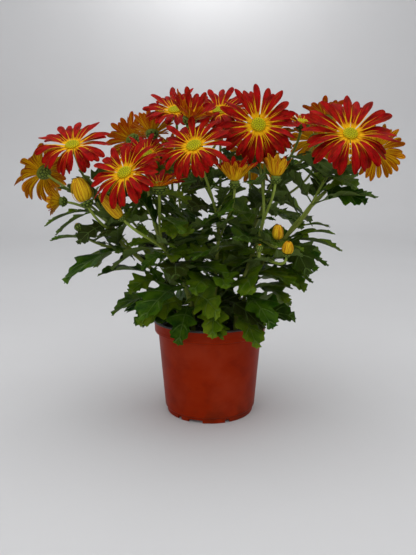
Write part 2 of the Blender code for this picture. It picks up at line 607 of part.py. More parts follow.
def grow():
    """Places every piece of the plant. Returns the solids of each node."""
    space, rng = Space(), np.random.default_rng(SEED)
    nodes = {}
    space.add("pot", pot_shell())
    space.add("soil", soil_body(np.random.default_rng(SEED)))

    # Main stems first, then the hearts and cups of all blooms, then the stalks between them
    for number, stem in STEMS.items():
        foot = np.array((*stem["foot"], HOLE_FLOOR + GAP))
        bend = np.array((*stem["foot"], STRAIGHT_TOP))
        top = np.array(stem["top"], float)
        rise = float(np.linalg.norm(top - bend))
        lean = unit(top - bend + UP * STEM_UPRIGHT)
        curve = bezier((bend, bend + UP * 0.45 * rise, top - lean * 0.3 * rise, top), STEM_POINTS)
        stem["path"] = np.vstack((foot, curve))
        stem["tubes"] = [("main_%d" % number, stem["path"])]
        stem["leaves"] = []
        solid = tube(stem["path"], np.linspace(STEM_RADIUS, STEM_TOP_RADIUS, len(stem["path"])), STEM_SIDES)
        nodes["stem_%d" % number] = [solid]
        space.add("main_%d" % number, solid)

    spots = []
    for name, bloom in BLOOMS.items():
        cupped = bloom["start"] >= CUPPED_SLOPE
        bloom.update(kind="bloom", scale=1.0, drum_depth=DRUM_DEPTH,
                     width=RAY_WIDTH * bloom["reach"] / USUAL_REACH,
                     drum_radius=CUPPED_DRUM_RADIUS if cupped else DRUM_RADIUS,
                     disc_radius=CUPPED_DISC_RADIUS if cupped else DISC_RADIUS)
        settle(bloom)
        nodes["bloom_%s_disc" % name] = [disc_of(bloom)]
        space.add("disc_" + name, disc_of(bloom))
        space.add("drum_" + name, drum_of(bloom))
        spots.append(("cup_" + name, bloom, {"drum_" + name, "disc_" + name}))
    for name, bloom in HALF_OPEN.items():
        bloom.update(kind="bloom", scale=HALF_OPEN_SCALE, drum_depth=DRUM_DEPTH, width=HALF_OPEN_WIDTH,
                     hang=0, drum_radius=HEART_RADIUS)
        settle(bloom)
        space.add("heart_" + name, heart_of(bloom))
        spots.append(("half_cup_" + name, bloom, {"heart_" + name}))
    for name, bud in BUDS.items():
        bud.update(kind="bud", scale=bud["radius"] / BUD_CUP_RADIUS, drum_depth=0.0)
        settle(bud)
        nodes["bud_%s" % name] = [bud_of(bud)]
        space.add("bud_" + name, bud_of(bud))
        spots.append(("bud_cup_" + name, bud, {"bud_" + name}))
    for name, bud in SMALL_BUDS.items():
        bud.update(kind="small")
        settle(bud)
        spots.append(("small_bud_" + name, bud, set()))
    for key, spot, own in spots:
        space.add(key, turned(spot["at"], spot["axis"], spot["rings"], 8))

    for number, stem in STEMS.items():
        carried = [entry for entry in spots if entry[1]["stem"] == number]
        carried.sort(key=lambda entry: entry[1]["at"][2])
        own_keys = {"main_%d" % number}
        for k, (key, spot, own) in enumerate(carried):
            share = FIRST_FORK + (LAST_FORK - FIRST_FORK) * (k + 1) / len(carried)
            radii = np.full(STALK_POINTS, STALK_RADIUS)
            radii[-1] = spot["rings"][0][1]
            points = stalk_points(spot, stem, share)
            path = fitted_stalk(points, radii, space, own_keys | own | {key})
            nodes["stem_%d" % number].append(grown_stalk(path, radii, spot))
            stalk_key = "stalk_%d_%d" % (number, k)
            space.add(stalk_key, tube(path, radii, STALK_SIDES))
            own_keys.add(stalk_key)
            stem["tubes"].append((stalk_key, path))

    # Rays, bloom by bloom
    for name, bloom in BLOOMS.items():
        fit_rays(bloom, rng, space, "rays_" + name, {"drum_" + name})
        nodes["bloom_%s_rays" % name] = [ring_of_rays(bloom)]
    for name, bloom in HALF_OPEN.items():
        fit_rays(bloom, rng, space, "half_" + name, {"heart_" + name}, heart_core(bloom))
        nodes["half_open_%s" % name] = [ring_of_rays(bloom, heart=(HEART_HEIGHT, HEART_RADIUS))]

    # Leaves: first those of the outline, then up each stem by the golden angle, then bracts
    for number, share, tip in OUTER_LEAVES:
        place_leaf(nodes, space, number, STEMS[number]["tubes"][0], share, np.array(tip, float),
                   LOBED, OUTER_ARCH, 0.0)
    for number, stem in STEMS.items():
        main = stem["tubes"][0]
        height = main[1][-1][2] - STRAIGHT_TOP
        count = int(height / LEAF_PITCH)
        for k in range(count):
            share = LOWEST_LEAF + (HIGHEST_LEAF - LOWEST_LEAF) * (k + rng.uniform(0.2, 0.8)) / count
            size = LOW_LEAF + (HIGH_LEAF - LOW_LEAF) * k / count + rng.uniform(-4, 4)
            turn = stem["turn"] + GOLDEN_TURN * k + rng.uniform(-15, 15)
            lift = rng.uniform(*LEAF_DROOP)
            root = point_at(main[1], share)
            place_leaf(nodes, space, number, main, share, root + heading(turn, lift) * size, LOBED, LEAF_ARCH,
                       rng.uniform(-LEAF_ROLL, LEAF_ROLL))
    for tier, (low, high, size, shape) in enumerate(STALK_LEAVES):
        for number, stem in STEMS.items():
            for k, stalk in enumerate(stem["tubes"][1:]):
                share = rng.uniform(low, high)
                length = size + rng.uniform(-STALK_LEAF_JITTER, STALK_LEAF_JITTER)
                turn = stem["turn"] + GOLDEN_TURN * (2 * k + 1 + tier)
                tip = point_at(stalk[1], share) + heading(turn, rng.uniform(*STALK_LEAF_PITCH)) * length
                place_leaf(nodes, space, number, stalk, share, tip, shape, STALK_LEAF_ARCH,
                           rng.uniform(-LEAF_ROLL, LEAF_ROLL))
    return nodes


def point_at(path, share):
    """The point at a share of a path's steps."""
    place = share * (len(path) - 1)
    k = min(int(place), len(path) - 2)
    return path[k] + (path[k + 1] - path[k]) * (place - k)


def place_leaf(nodes, space, number, carrier, share, tip, shape, arch, roll):
    """Fits one leaf to its stem and adds it, where there is room for it."""
    key, path = carrier
    leaf = dict(root=point_at(path, share), tip=tip, shape=shape, arch=arch, roll=roll)
    leaf = fitted_leaf(leaf, space, {key})
    if leaf is not None:
        solid = leaf_blade(leaf)
        nodes["stem_%d" % number].append(solid)
        space.add("leaves_%d" % number, solid)
        STEMS[number]["leaves"].append(leaf)


def settle(spot):
    """Turns a bloom's or bud's place and heading into arrays, and works out the rings of its cup."""
    spot.update(at=np.array(spot["at"], float), axis=heading(spot["turn"], spot["lift"]))
    spot["rings"] = small_bud_rings(spot) if spot["kind"] == "small" else cup_rings(spot)


def fit_rays(bloom, rng, space, key, skip, heart=None):
    """Fits the rays of a bloom one after another, and clear of its heart where it has one."""
    near, roots, bloom["fitted"] = Space(), Space(), []
    if heart is not None:
        roots.add("heart", heart)
    for ray in rays_of(bloom, rng):
        ray = fitted_ray(ray, space, skip | {key}, near, roots)
        bloom["fitted"].append(ray)
        if ray is not None:
            near.add("rays", ray_blade(ray, RAY_FREE))
            roots.add("rays", rooted_ray(ray))
            space.add(key, ray_blade(ray, RAY_FOOT))


def pot_shell():
    """The pot before its notches and drain holes are cut: a turned shell with a collar and a foot ring."""
    collar_z = POT_HEIGHT - COLLAR_HEIGHT
    inner_foot = RING_RADIUS - RING_WIDTH
    floor_top = FLOOR_HEIGHT + FLOOR_THICKNESS
    lip_z = POT_HEIGHT - LIP_HEIGHT
    profile = [
        (FLOOR_HEIGHT, inner_foot - DRAFT), (0.0, inner_foot),
        (0.0, RING_RADIUS), (RING_HEIGHT, RING_RADIUS + DRAFT),
        (HEEL_HEIGHT, HEEL_RADIUS), (collar_z - STEP_HEIGHT, NECK_RADIUS),
        (collar_z, COLLAR_FOOT_RADIUS), (lip_z, COLLAR_TOP_RADIUS), (lip_z, RIM_RADIUS),
        (POT_HEIGHT, RIM_RADIUS), (POT_HEIGHT, COLLAR_TOP_RADIUS - WALL),
        (collar_z + WALL, COLLAR_FOOT_RADIUS - WALL),
        (collar_z - STEP_HEIGHT + WALL, NECK_RADIUS - WALL),
        (HEEL_HEIGHT + 1.0, HEEL_RADIUS - WALL), (floor_top, HEEL_RADIUS - HEEL_FILLET)]
    return turned((0, 0, 0), UP, profile, POT_SIDES, tip=floor_top, foot=FLOOR_HEIGHT)


def soil_body(rng):
    """The growing medium before its holes are made, with an uneven top."""
    floor = FLOOR_HEIGHT + FLOOR_THICKNESS + GAP
    profile = [(floor, HEEL_RADIUS - HEEL_FILLET - 0.4), (HEEL_HEIGHT + 1.4, HEEL_RADIUS - WALL - 0.5),
               (SOIL_TOP - 1.0, NECK_RADIUS - WALL - 0.4), (SOIL_TOP, SOIL_SHOULDER), (SOIL_TOP, SOIL_MIDDLE)]
    verts, faces = turned((0, 0, 0), UP, profile, SOIL_SIDES, tip=SOIL_TOP, foot=floor)
    verts = verts.copy()
    crumbs = slice(3 * SOIL_SIDES, 5 * SOIL_SIDES)
    verts[crumbs, 2] += rng.uniform(-SOIL_RELIEF, SOIL_RELIEF, 2 * SOIL_SIDES)
    return verts, faces


def material(name, colour, roughness):
    """Principled surface of one colour."""
    mat = bpy.data.materials.new(name)
    mat.use_nodes = True
    shader = mat.node_tree.nodes["Principled BSDF"]
    shader.inputs["Base Color"].default_value = (*colour, 1.0)
    shader.inputs["Roughness"].default_value = roughness
    shader.inputs["Metallic"].default_value = 0.0
    mat.diffuse_color = (*colour, 1.0)
    return mat


def solid_object(name, solid, mat, home):
    """One mesh object from a solid, in metres."""
    verts, faces = solid
    mesh = bpy.data.meshes.new(name)
    mesh.from_pydata((np.asarray(verts) * MM).tolist(), [], faces)
    mesh.materials.append(mat)
    obj = bpy.data.objects.new(name, mesh)
    home.objects.link(obj)
    return obj


def apply_boolean(obj, operation, home):
    """Joins or cuts an object with everything in a collection, applies it and removes the collection."""
    modifier = obj.modifiers.new(operation.lower(), "BOOLEAN")
    modifier.operation = operation
    modifier.operand_type = "COLLECTION"
    modifier.collection = home
    modifier.solver = "EXACT"
    depsgraph = bpy.context.evaluated_depsgraph_get()
    joined = bpy.data.meshes.new_from_object(obj.evaluated_get(depsgraph))
    obj.modifiers.remove(modifier)
    mat = obj.data.materials[0]
    obj.data = joined
    joined.materials.clear()
    joined.materials.append(mat)
    for piece in list(home.objects):
        bpy.data.objects.remove(piece)
    bpy.data.collections.remove(home)


def shells_of(bm):
    """The connected shells of a mesh, each with its signed volume."""
    left, shells = set(bm.faces), []
    while left:
        seed = left.pop()
        shell, edge = [seed], [seed]
        while edge:
            face = edge.pop()
            for border in face.edges:
                for other in border.link_faces:
                    if other in left:
                        left.discard(other)
                        shell.append(other)
                        edge.append(other)
        volume = sum(f.verts[0].co.dot(f.verts[1].co.cross(f.verts[2].co)) for f in shell) / 6
        shells.append((volume, shell))
    return shells


def keep_main_shell(obj):
    """Merges the flat splinters that a Boolean leaves, triangulates the piece, fills the hollows that
    fusing sealed and drops loose scraps."""
    bm = bmesh.new()
    bm.from_mesh(obj.data)
    bmesh.ops.dissolve_limit(bm, angle_limit=FLAT, verts=bm.verts, edges=bm.edges)
    bmesh.ops.triangulate(bm, faces=bm.faces)
    shells = shells_of(bm)
    largest = max(shells, key=lambda entry: entry[0])
    spare = [face for volume, shell in shells if shell is not largest[1] for face in shell]
    if spare:
        bmesh.ops.delete(bm, geom=spare, context="FACES")
    bm.to_mesh(obj.data)
    bm.free()


def fused(name, solids, mat):
    """One node made of a first solid and all the repeats that grow from it."""
    scene = bpy.context.scene
    obj = solid_object(name, solids[0], mat, scene.collection)
    if len(solids) > 1:
        home = bpy.data.collections.new(name + "_repeats")
        scene.collection.children.link(home)
        for k, solid in enumerate(solids[1:]):
            solid_object("%s_%d" % (name, k), solid, mat, home)
        apply_boolean(obj, "UNION", home)
    keep_main_shell(obj)
    obj.data.shade_smooth()
    obj.data.set_sharp_from_angle(angle=math.radians(35))
    return obj


def cut(obj, cutters, mat):
    """Cuts the cutters out of an object."""
    scene = bpy.context.scene
    home = bpy.data.collections.new(obj.name + "_cutters")
    scene.collection.children.link(home)
    for k, cutter in enumerate(cutters):
        solid_object("%s_cutter_%d" % (obj.name, k), cutter, mat, home)
    apply_boolean(obj, "DIFFERENCE", home)
    keep_main_shell(obj)
    obj.data.shade_smooth()
    obj.data.set_sharp_from_angle(angle=math.radians(35))


def notch_cutter(turn, width):
    """A block across the foot ring."""
    out, side = heading(turn, 0), heading(turn + 90, 0)
    corners = [out * (RING_RADIUS - 4) - side * width / 2, out * (RING_RADIUS - 4) + side * width / 2,
               out * (RING_RADIUS + 3) + side * width / 2, out * (RING_RADIUS + 3) - side * width / 2]
    return loft([[c - UP for c in corners], [c + UP * NOTCH_HEIGHT for c in corners]])


def build():
    """Makes the whole part."""
    for obj in list(bpy.data.objects):
        bpy.data.objects.remove(obj)
    scene = bpy.context.scene
    colours = {
        "pot": material("terracotta_plastic", (0.23, 0.035, 0.018), 0.38),
        "growing_medium": material("dark_soil", (0.02, 0.014, 0.01), 0.95),
        "stem": material("green_leaf", (0.045, 0.10, 0.02), 0.55),
        "rays": material("red_petal", (0.42, 0.02, 0.012), 0.5),
        "disc": material("yellow_green_florets", (0.40, 0.38, 0.02), 0.7),
        "half_open": material("yellow_petal", (0.62, 0.36, 0.04), 0.5),
        "bud": material("yellow_bud", (0.60, 0.32, 0.04), 0.55),
    }

    pot = fused("pot", [pot_shell()], colours["pot"])
    drain = [(0.0, DRAIN_RADIUS), (FLOOR_HEIGHT + 4, DRAIN_RADIUS)]
    drains = [turned(heading(360 / DRAINS * k + 10, 0) * DRAIN_CIRCLE, UP, drain, DRAIN_SIDES)
              for k in range(DRAINS)]
    cut(pot, [notch_cutter(*notch) for notch in NOTCHES] + drains, colours["pot"])

    soil = fused("growing_medium", [soil_body(np.random.default_rng(SEED))], colours["growing_medium"])
    hole_radius = (STEM_RADIUS + GAP) / math.cos(math.pi / HOLE_SIDES)
    hole = [(HOLE_FLOOR, hole_radius), (SOIL_TOP + 6, hole_radius)]
    holes = [turned((*stem["foot"], 0), UP, hole, HOLE_SIDES) for stem in STEMS.values()]
    cut(soil, holes, colours["growing_medium"])

    for name, solids in grow().items():
        first, last = name.split("_")[0], name.split("_")[-1]
        kind = {"bloom": last, "half": "half_open"}.get(first, first)
        fused(name, solids, colours[kind])
    scene.view_layers[0].update()


build()
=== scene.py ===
# %% [markdown]
# # A potted chrysanthemum
# The plant is a fan of leafy stems that end in red daisies with yellow-green discs, and it grows
# in a terracotta-coloured plastic pot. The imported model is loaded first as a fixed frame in
# metres: it says where each stem, bloom and bud stands, and this script only gives them their
# fine surfaces and finishes. Lengths below are in millimetres until a mesh is made.

import math

import bpy
import numpy as np
from mathutils import Matrix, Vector
from mathutils.bvhtree import BVHTree


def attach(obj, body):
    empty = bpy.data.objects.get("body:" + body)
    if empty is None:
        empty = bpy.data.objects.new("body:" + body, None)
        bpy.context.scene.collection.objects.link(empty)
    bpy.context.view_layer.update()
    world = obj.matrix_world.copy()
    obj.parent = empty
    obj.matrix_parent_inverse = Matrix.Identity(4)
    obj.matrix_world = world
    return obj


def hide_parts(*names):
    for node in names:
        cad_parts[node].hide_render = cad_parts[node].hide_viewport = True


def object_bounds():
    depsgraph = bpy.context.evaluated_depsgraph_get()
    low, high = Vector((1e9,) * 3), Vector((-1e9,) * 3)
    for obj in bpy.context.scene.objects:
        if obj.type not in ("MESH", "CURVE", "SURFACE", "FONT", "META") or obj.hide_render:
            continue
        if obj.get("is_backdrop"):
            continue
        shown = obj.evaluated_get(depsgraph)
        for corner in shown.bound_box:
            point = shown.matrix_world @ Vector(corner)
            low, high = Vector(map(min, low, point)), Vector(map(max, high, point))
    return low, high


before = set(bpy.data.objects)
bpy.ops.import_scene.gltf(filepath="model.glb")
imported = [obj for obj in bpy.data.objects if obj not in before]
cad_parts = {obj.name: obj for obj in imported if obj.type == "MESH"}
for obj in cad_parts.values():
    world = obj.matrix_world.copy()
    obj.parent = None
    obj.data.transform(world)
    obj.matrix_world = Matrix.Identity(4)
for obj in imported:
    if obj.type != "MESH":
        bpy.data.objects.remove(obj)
cad_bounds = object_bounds()
MM = 0.001
print("nodes in the frame:", len(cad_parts))

# %% [markdown]
# ## Camera
# The camera could be placed by eye. Here it comes from the pot: its rim is 120 mm wide and both
# ends of its ellipses are seen, which gives the distance, the height and a look down of 10.5
# degrees. The picture is taller than wide, so the lens is worked out for its height.

# %% Place the camera
PICTURE = (416, 555)
FOCAL_PIXELS = 611.0
LOOK_DOWN = 10.5
camera_data = bpy.data.cameras.new("camera")
camera_data.sensor_width = 36.0
camera_data.lens = FOCAL_PIXELS / PICTURE[1] * camera_data.sensor_width
camera = bpy.data.objects.new("camera", camera_data)
camera.location = (-0.002, -0.625, 0.2576)
camera.rotation_euler = (math.radians(90.0 - LOOK_DOWN), 0.0, 0.0)
bpy.context.scene.collection.objects.link(camera)
bpy.context.scene.camera = camera
print("lens of %.1f mm" % camera_data.lens)

# %% [markdown]
# ## How the plant grows
# Every stalk, ray and leaf has its own place. They could be measured from the frame's meshes one
# by one. It is surer to grow the plant again by the rule that the solids were made with: the same
# tables, the same order and the same seeded draws give the same places, and each new surface
# then follows its solid's middle line. First come the tables.

# %% The plant's tables
def table(facts, rows):
    """Rows of plain values, each turned into a dictionary under the names of its facts."""
    return {name: dict(zip(facts.split(), row)) for name, row in rows.items()}


SEED = 11
GAP = 0.3
CLEARANCE = 0.4
UP = np.array((0.0, 0.0, 1.0))

# Pot: rim, collar, tapered wall, foot ring
POT_SIDES = 24
POT_HEIGHT = 100.0
RIM_RADIUS = 60.0
LIP_Z = POT_HEIGHT - 1.8
COLLAR_Z = POT_HEIGHT - 13.0
COLLAR_TOP_RADIUS = 58.6
COLLAR_FOOT_RADIUS = 57.8
NECK_RADIUS = 54.2
HEEL_RADIUS = 47.6
HEEL_HEIGHT = 6.5
HEEL_FILLET = 3.2               # inside, between floor and wall
STEP_HEIGHT = 1.5               # of the slope under the collar
RING_RADIUS = 45.5
RING_HEIGHT = 5.0
INNER_FOOT = RING_RADIUS - 1.7
DRAFT = 0.3
WALL = 1.4
FLOOR_HEIGHT = 3.5
FLOOR_TOP = FLOOR_HEIGHT + 1.7
NOTCH_HEIGHT = 3.0
NOTCHES = ((-109, 15.0), (-133, 5.0), (-67, 5.0), (71, 15.0))    # turn, width
DRAINS = 4
DRAIN_RADIUS = 4.0
DRAIN_CIRCLE = 28.0
POT_OUTSIDE = (                 # height and radius, from the foot ring to the foot of the collar
    (FLOOR_HEIGHT, INNER_FOOT - DRAFT), (0.0, INNER_FOOT), (0.0, RING_RADIUS),
    (RING_HEIGHT, RING_RADIUS + DRAFT), (HEEL_HEIGHT, HEEL_RADIUS), (COLLAR_Z - STEP_HEIGHT, NECK_RADIUS),
    (COLLAR_Z, COLLAR_FOOT_RADIUS))
POT_INSIDE = (                  # from the collar down to the floor
    (COLLAR_Z + WALL, COLLAR_FOOT_RADIUS - WALL), (COLLAR_Z - STEP_HEIGHT + WALL, NECK_RADIUS - WALL),
    (HEEL_HEIGHT + 1.0, HEEL_RADIUS - WALL), (FLOOR_TOP, HEEL_RADIUS - HEEL_FILLET))

# Growing medium
SOIL_SIDES = 12
SOIL_TOP = 86.0
SOIL_RELIEF = 1.4
SOIL_SHOULDER = 47.2            # radii of its two rings of crumbs
SOIL_MIDDLE = 19.0
HOLE_FLOOR = 66.0

# Stems
STEM_SIDES = 6
STALK_SIDES = 5
STEM_RADIUS = 2.1
STEM_TOP_RADIUS = 1.7
STALK_RADIUS = 1.25
STALK_POINTS = 4
STEM_POINTS = 6
STEM_UPRIGHT = 30.0             # the larger, the more upright the top of a main stem
STRAIGHT_TOP = 92.0             # a stem is upright in its hole and up to here

# Blooms, measured from the top of the receptacle along the bloom's axis
DRUM_RADIUS = 8.0
DRUM_DEPTH = 2.2
DRUM_TAPER = 0.92
CUPPED_DRUM_RADIUS = 7.0
CUP_DEPTH = 6.0
CUP_RADIUS = 6.8
CUP_SHAPE = ((0.0, 0.22), (0.4, 0.72), (1.0, 1.0))    # height and radius of the cup, as shares
ROOT_DEPTH = 0.7
DISC_RADIUS = 7.0
CUPPED_DISC_RADIUS = 5.0
DISC_HEIGHT = 3.0
DISC_SHAPE = ((0.1, 0.93), (0.42, 1.0), (0.88, 0.6))    # height and radius, as shares
DISC_TIP = 0.8                  # the middle is a little hollow
DISC_RELIEF = 0.35
DISC_SIDES = 7
RAY_ROOT_WIDTH = 2.0
RAY_STATIONS = (0.40, 0.82)
RAY_SPREAD = (0.72, 1.0)        # width at the stations, as a share of the widest
NECK_ROOM = 0.78                # most of the room between two rays that one takes at its first station
DRAW_IN = 0.02                  # of a root from the corners it shares, where rays are tested for crossing
RAY_KEEL = 1.1
RAY_FREE = 0.15                 # past this share of its length a ray is clear of the next one
RAY_FOOT = 0.05                 # past this share it is clear of all else
RAY_CLEARANCE = 0.45
NEXT_RAY_CLEARANCE = 0.12
RAY_SIZES = (1.0, 0.86, 0.72, 0.58)
RAY_BENDS = (0, 9, -9, 18, -18, 30, -30, 44, -44, -60)
RAY_LEANS = (0, 7, -7)
STEEPEST = 80.0                 # slope at the root that no ray exceeds

# Open blooms: place of the receptacle's top, turn and lift of the axis, reach, rays, slope
# of a ray at its root and at its tip, extra droop of the lower rays, stem that carries it
BLOOMS = table("at turn lift reach rays start end hang stem", {
    "01": ((-34, -10, 309), -100, 60, 34, 17, 30, 0, 10, 7),
    "02": ((-60, 25, 290), 100, 60, 28, 14, 50, 30, 0, 7),
    "03": ((-84, 52, 284), 130, 35, 31, 14, 40, 5, 20, 7),
    "04": ((-18, -48, 300), -50, 60, 32, 13, 55, 40, 0, 3),
    "05": ((9, -14, 308), -95, 55, 33, 16, 30, 8, 20, 3),
    "06": ((44, -50, 293), -87, 22, 38, 20, 22, -8, 45, 4),
    "07": ((-14, -85, 273), -112, 47, 35, 17, 24, -8, 60, 3),
    "08": ((-75, -80, 250), -116, 42, 36, 19, 24, -4, 50, 2),
    "09": ((-46, -70, 239), -90, 80, 27, 13, 50, 10, 0, 2),
    "10": ((-130, -35, 275), -100, 56, 37, 19, 26, -8, 60, 1),
    "11": ((-167, -4, 250), 142, 25, 34, 14, 42, -45, 25, 1),
    "12": ((89, -20, 297), -60, 72, 28, 13, 40, -10, 10, 6),
    "13": ((125, -65, 284), -88, 41, 43, 20, 24, -10, 50, 5),
    "14": ((119, 25, 304), 100, 65, 31, 15, 35, 0, 20, 6),
    "15": ((116, 62, 284), 70, 30, 31, 13, 25, 0, 20, 6),
    "16": ((167, 2, 271), 62, 22, 31, 13, 20, -20, 20, 5),
    "17": ((-62, -25, 267), -85, 55, 28, 14, 35, 0, 20, 2),
    "18": ((10, 40, 300), 90, 65, 33, 13, 28, -5, 30, 7),
    "19": ((62, 42, 286), 70, 55, 32, 13, 28, -5, 30, 6),
    "20": ((-42, 84, 264), 110, 38, 34, 13, 24, -8, 35, 7),
    "21": ((48, 88, 262), 75, 38, 34, 13, 24, -8, 35, 6),
})
RAY_WIDTH = 6.6                 # of a bloom with the usual reach
USUAL_REACH = 34.0
CUPPED_SLOPE = 45               # rays that start steeper than this stand round a smaller disc
RAY_LAYER_SLOPE = 7.0           # every other ray stands this much steeper, its neighbours less
SLOPE_JITTER = 5.0
TURN_JITTER = 0.10              # of the space between two rays
LENGTH_JITTER = 0.07
SWAY_JITTER = 0.06

# Half-open blooms: place of the heart's foot, axis, reach and slopes of the short rays
HALF_OPEN = table("at turn lift reach rays start end stem", {
    "01": ((22, -70, 243), -90, 84, 27, 12, 68, 52, 3),
    "02": ((60, -60, 247), 0, 86, 25, 11, 76, 66, 4),
    "03": ((-147, -22, 222), 180, 8, 19, 10, 60, 30, 1),
})
HALF_OPEN_SCALE = 0.8           # of the cup of an open bloom
HALF_OPEN_WIDTH = 6.0
HEART_RADIUS = 4.6
HEART_SHAPE = ((0.45, 0.66), (0.8, 0.42))             # height and radius of the heart, as shares
HEART_HEIGHT = 13.0

# Closed buds: place of the foot, axis, length and radius
BUDS = table("at turn lift length radius stem", {
    "01": ((-116, -50, 224), 185, 68, 22, 9.5, 1),
    "02": ((-80, -76, 211), 182, 48, 27, 5.6, 2),
    "03": ((61, -75, 191), -90, 84, 13, 5.2, 4),
    "04": ((69, -82, 179), -60, 80, 11, 5.2, 4),
    "05": ((126, -22, 252), 20, 62, 15, 6.0, 5),
})
BUD_SIDES = 8
BUD_SHAPE = ((0.0, 0.62), (0.28, 1.0), (0.62, 0.93), (0.9, 0.5))    # height and radius, as shares
BUD_CUP_RADIUS = 9.0            # of a bud whose cup is as large as an open bloom's
SMALL_BUDS = table("at turn lift radius stem", {
    "a": ((-126, -40, 198), 180, 60, 4.0, 1),
    "b": ((44, -85, 184), -90, 80, 3.2, 4),
    "c": ((-82, -14, 212), 150, 70, 3.8, 2),
    "d": ((54, 18, 230), 60, 80, 3.8, 6),
    "e": ((112, 38, 262), 60, 70, 3.4, 6),
})
SMALL_BUD_SHAPE = ((-1.0, 0.4), (-0.4, 0.9), (0.5, 1.0))    # height and radius, as shares of the radius

# Stems: foot in the soil, top of the main stem, where its leaves start to turn from
STEMS = table("foot top turn", {
    1: ((-31, -8), (-98, -36, 198), 200),
    2: ((-17, -27), (-52, -55, 202), 250),
    3: ((4, -33), (9, -48, 214), 270),
    4: ((26, -23), (50, -48, 204), 300),
    5: ((33, 5), (102, -22, 222), 0),
    6: ((18, 27), (62, 42, 224), 60),
    7: ((-18, 26), (-40, 36, 226), 120),
})
FIRST_FORK = 0.58               # the lowest stalk leaves its stem at this share of its length
LAST_FORK = 0.99
STALK_SWINGS = (0, 6, 12, 18, 26, 34)

# Leaves: side of a blade as (share of the length, half width as a share of the length), and the
# shares of the length at which its rib has a point
LOBED = dict(edge=((0.0, 0.013), (0.18, 0.026), (0.32, 0.26), (0.44, 0.16), (0.62, 0.34), (0.73, 0.20),
                   (0.86, 0.22)),
             rib=(0.0, 0.18, 0.60))
BRACT = dict(edge=((0.0, 0.020), (0.36, 0.20), (0.50, 0.12), (0.72, 0.21)), rib=(0.0, 0.50))
LEAF_THICKNESS = 1.3
LEAF_FOLD = 0.22                # how far the edges stand above the rib, as a share of the half width
LEAF_PITCH = 8.0                # rise from one leaf to the next on a main stem
LEAF_ROLL = 50.0                # most that a leaf leans to one side
LEAF_ARCH = 0.13                # height of a leaf's arch, as a share of its length
LEAF_DROOP = (-34.0, 14.0)      # lowest and highest pitch of the line from a leaf's root to its tip
GOLDEN_TURN = 137.5
LOWEST_LEAF = 0.18              # shares of a main stem between which its leaves stand
HIGHEST_LEAF = 0.98
LEAF_SIZES = (1.0, 0.85, 0.7, 0.58)
LEAF_TURNS = (0, 12, -12, 24, -24, 38, -38, 54, -54)
LEAF_LIFTS = (0, 12, -12, 24, -24, 36, -36)
LOW_LEAF = 60.0
HIGH_LEAF = 58.0
STALK_LEAVES = ((0.16, 0.32, 46.0, LOBED), (0.50, 0.68, 24.0, BRACT))    # lowest and highest share, length
STALK_LEAF_JITTER = 5.0
STALK_LEAF_PITCH = (-20.0, 30.0)
STALK_LEAF_ARCH = 0.06
OUTER_ARCH = 0.10

# Leaves that hang over the rim or stand out of the outline: stem, share of its length, tip
OUTER_LEAVES = (
    (5, 0.92, (164, -16, 228)), (5, 0.76, (132, -34, 176)), (5, 0.68, (128, -4, 188)),
    (5, 0.54, (104, -42, 157)), (4, 0.54, (82, -62, 146)), (5, 0.36, (78, -36, 124)),
    (1, 0.94, (-166, -22, 198)), (1, 0.80, (-152, -46, 180)), (1, 0.68, (-118, -62, 168)),
    (1, 0.52, (-112, -30, 150)), (1, 0.38, (-98, -34, 110)), (1, 0.27, (-68, -28, 96)),
    (2, 0.34, (-30, -74, 91)), (4, 0.30, (44, -72, 88)), (3, 0.34, (2, -80, 99)),
    (4, 0.33, (40, -52, 112)), (2, 0.48, (-62, -86, 118)), (4, 0.42, (58, -78, 108)),
    (3, 0.50, (14, -96, 150)), (2, 0.64, (-30, -102, 160)), (3, 0.72, (-24, -84, 196)),
)
print("blooms:", len(BLOOMS), "half-open:", len(HALF_OPEN), "buds:", len(BUDS), "stems:", len(STEMS))

# %% [markdown]
# Directions come as a turn round the upright and a lift above the level. A plain solid is lofted
# through rings of points: it is only used here to feel whether a place is free.

# %% Directions and plain solids
def unit(vector):
    """The vector at length one."""
    vector = np.asarray(vector, float)
    return vector / np.linalg.norm(vector)


def heading(turn, lift):
    """Unit vector at a turn round +Z (0 is +X, 90 is +Y) and a lift above the level, in degrees."""
    turn, lift = math.radians(turn), math.radians(lift)
    return np.array((math.cos(lift) * math.cos(turn), math.cos(lift) * math.sin(turn), math.sin(lift)))


def cross_axes(axis):
    """Two unit vectors square to the axis: one level, and one that looks up."""
    level = np.cross(UP, axis)
    level = np.array((1.0, 0.0, 0.0)) if np.linalg.norm(level) < 1e-6 else unit(level)
    return level, np.cross(axis, level)


def loft(rings, tip=None, foot=None):
    """Closed solid through rings of equally many points, ended by flat caps or by points."""
    rings = np.asarray(rings, float)
    count, sides = rings.shape[:2]
    verts = rings.reshape(-1, 3)
    faces = []
    for row in range(count - 1):
        for k in range(sides):
            a, b = row * sides + k, row * sides + (k + 1) % sides
            faces += [(a, b, b + sides), (a, b + sides, a + sides)]
    last = (count - 1) * sides
    if foot is None:
        faces.append(tuple(range(sides - 1, -1, -1)))
    else:
        verts = np.vstack((verts, foot))
        faces += [((k + 1) % sides, k, len(verts) - 1) for k in range(sides)]
    if tip is None:
        faces.append(tuple(last + k for k in range(sides)))
    else:
        verts = np.vstack((verts, tip))
        faces += [(last + k, last + (k + 1) % sides, len(verts) - 1) for k in range(sides)]
    return verts, faces


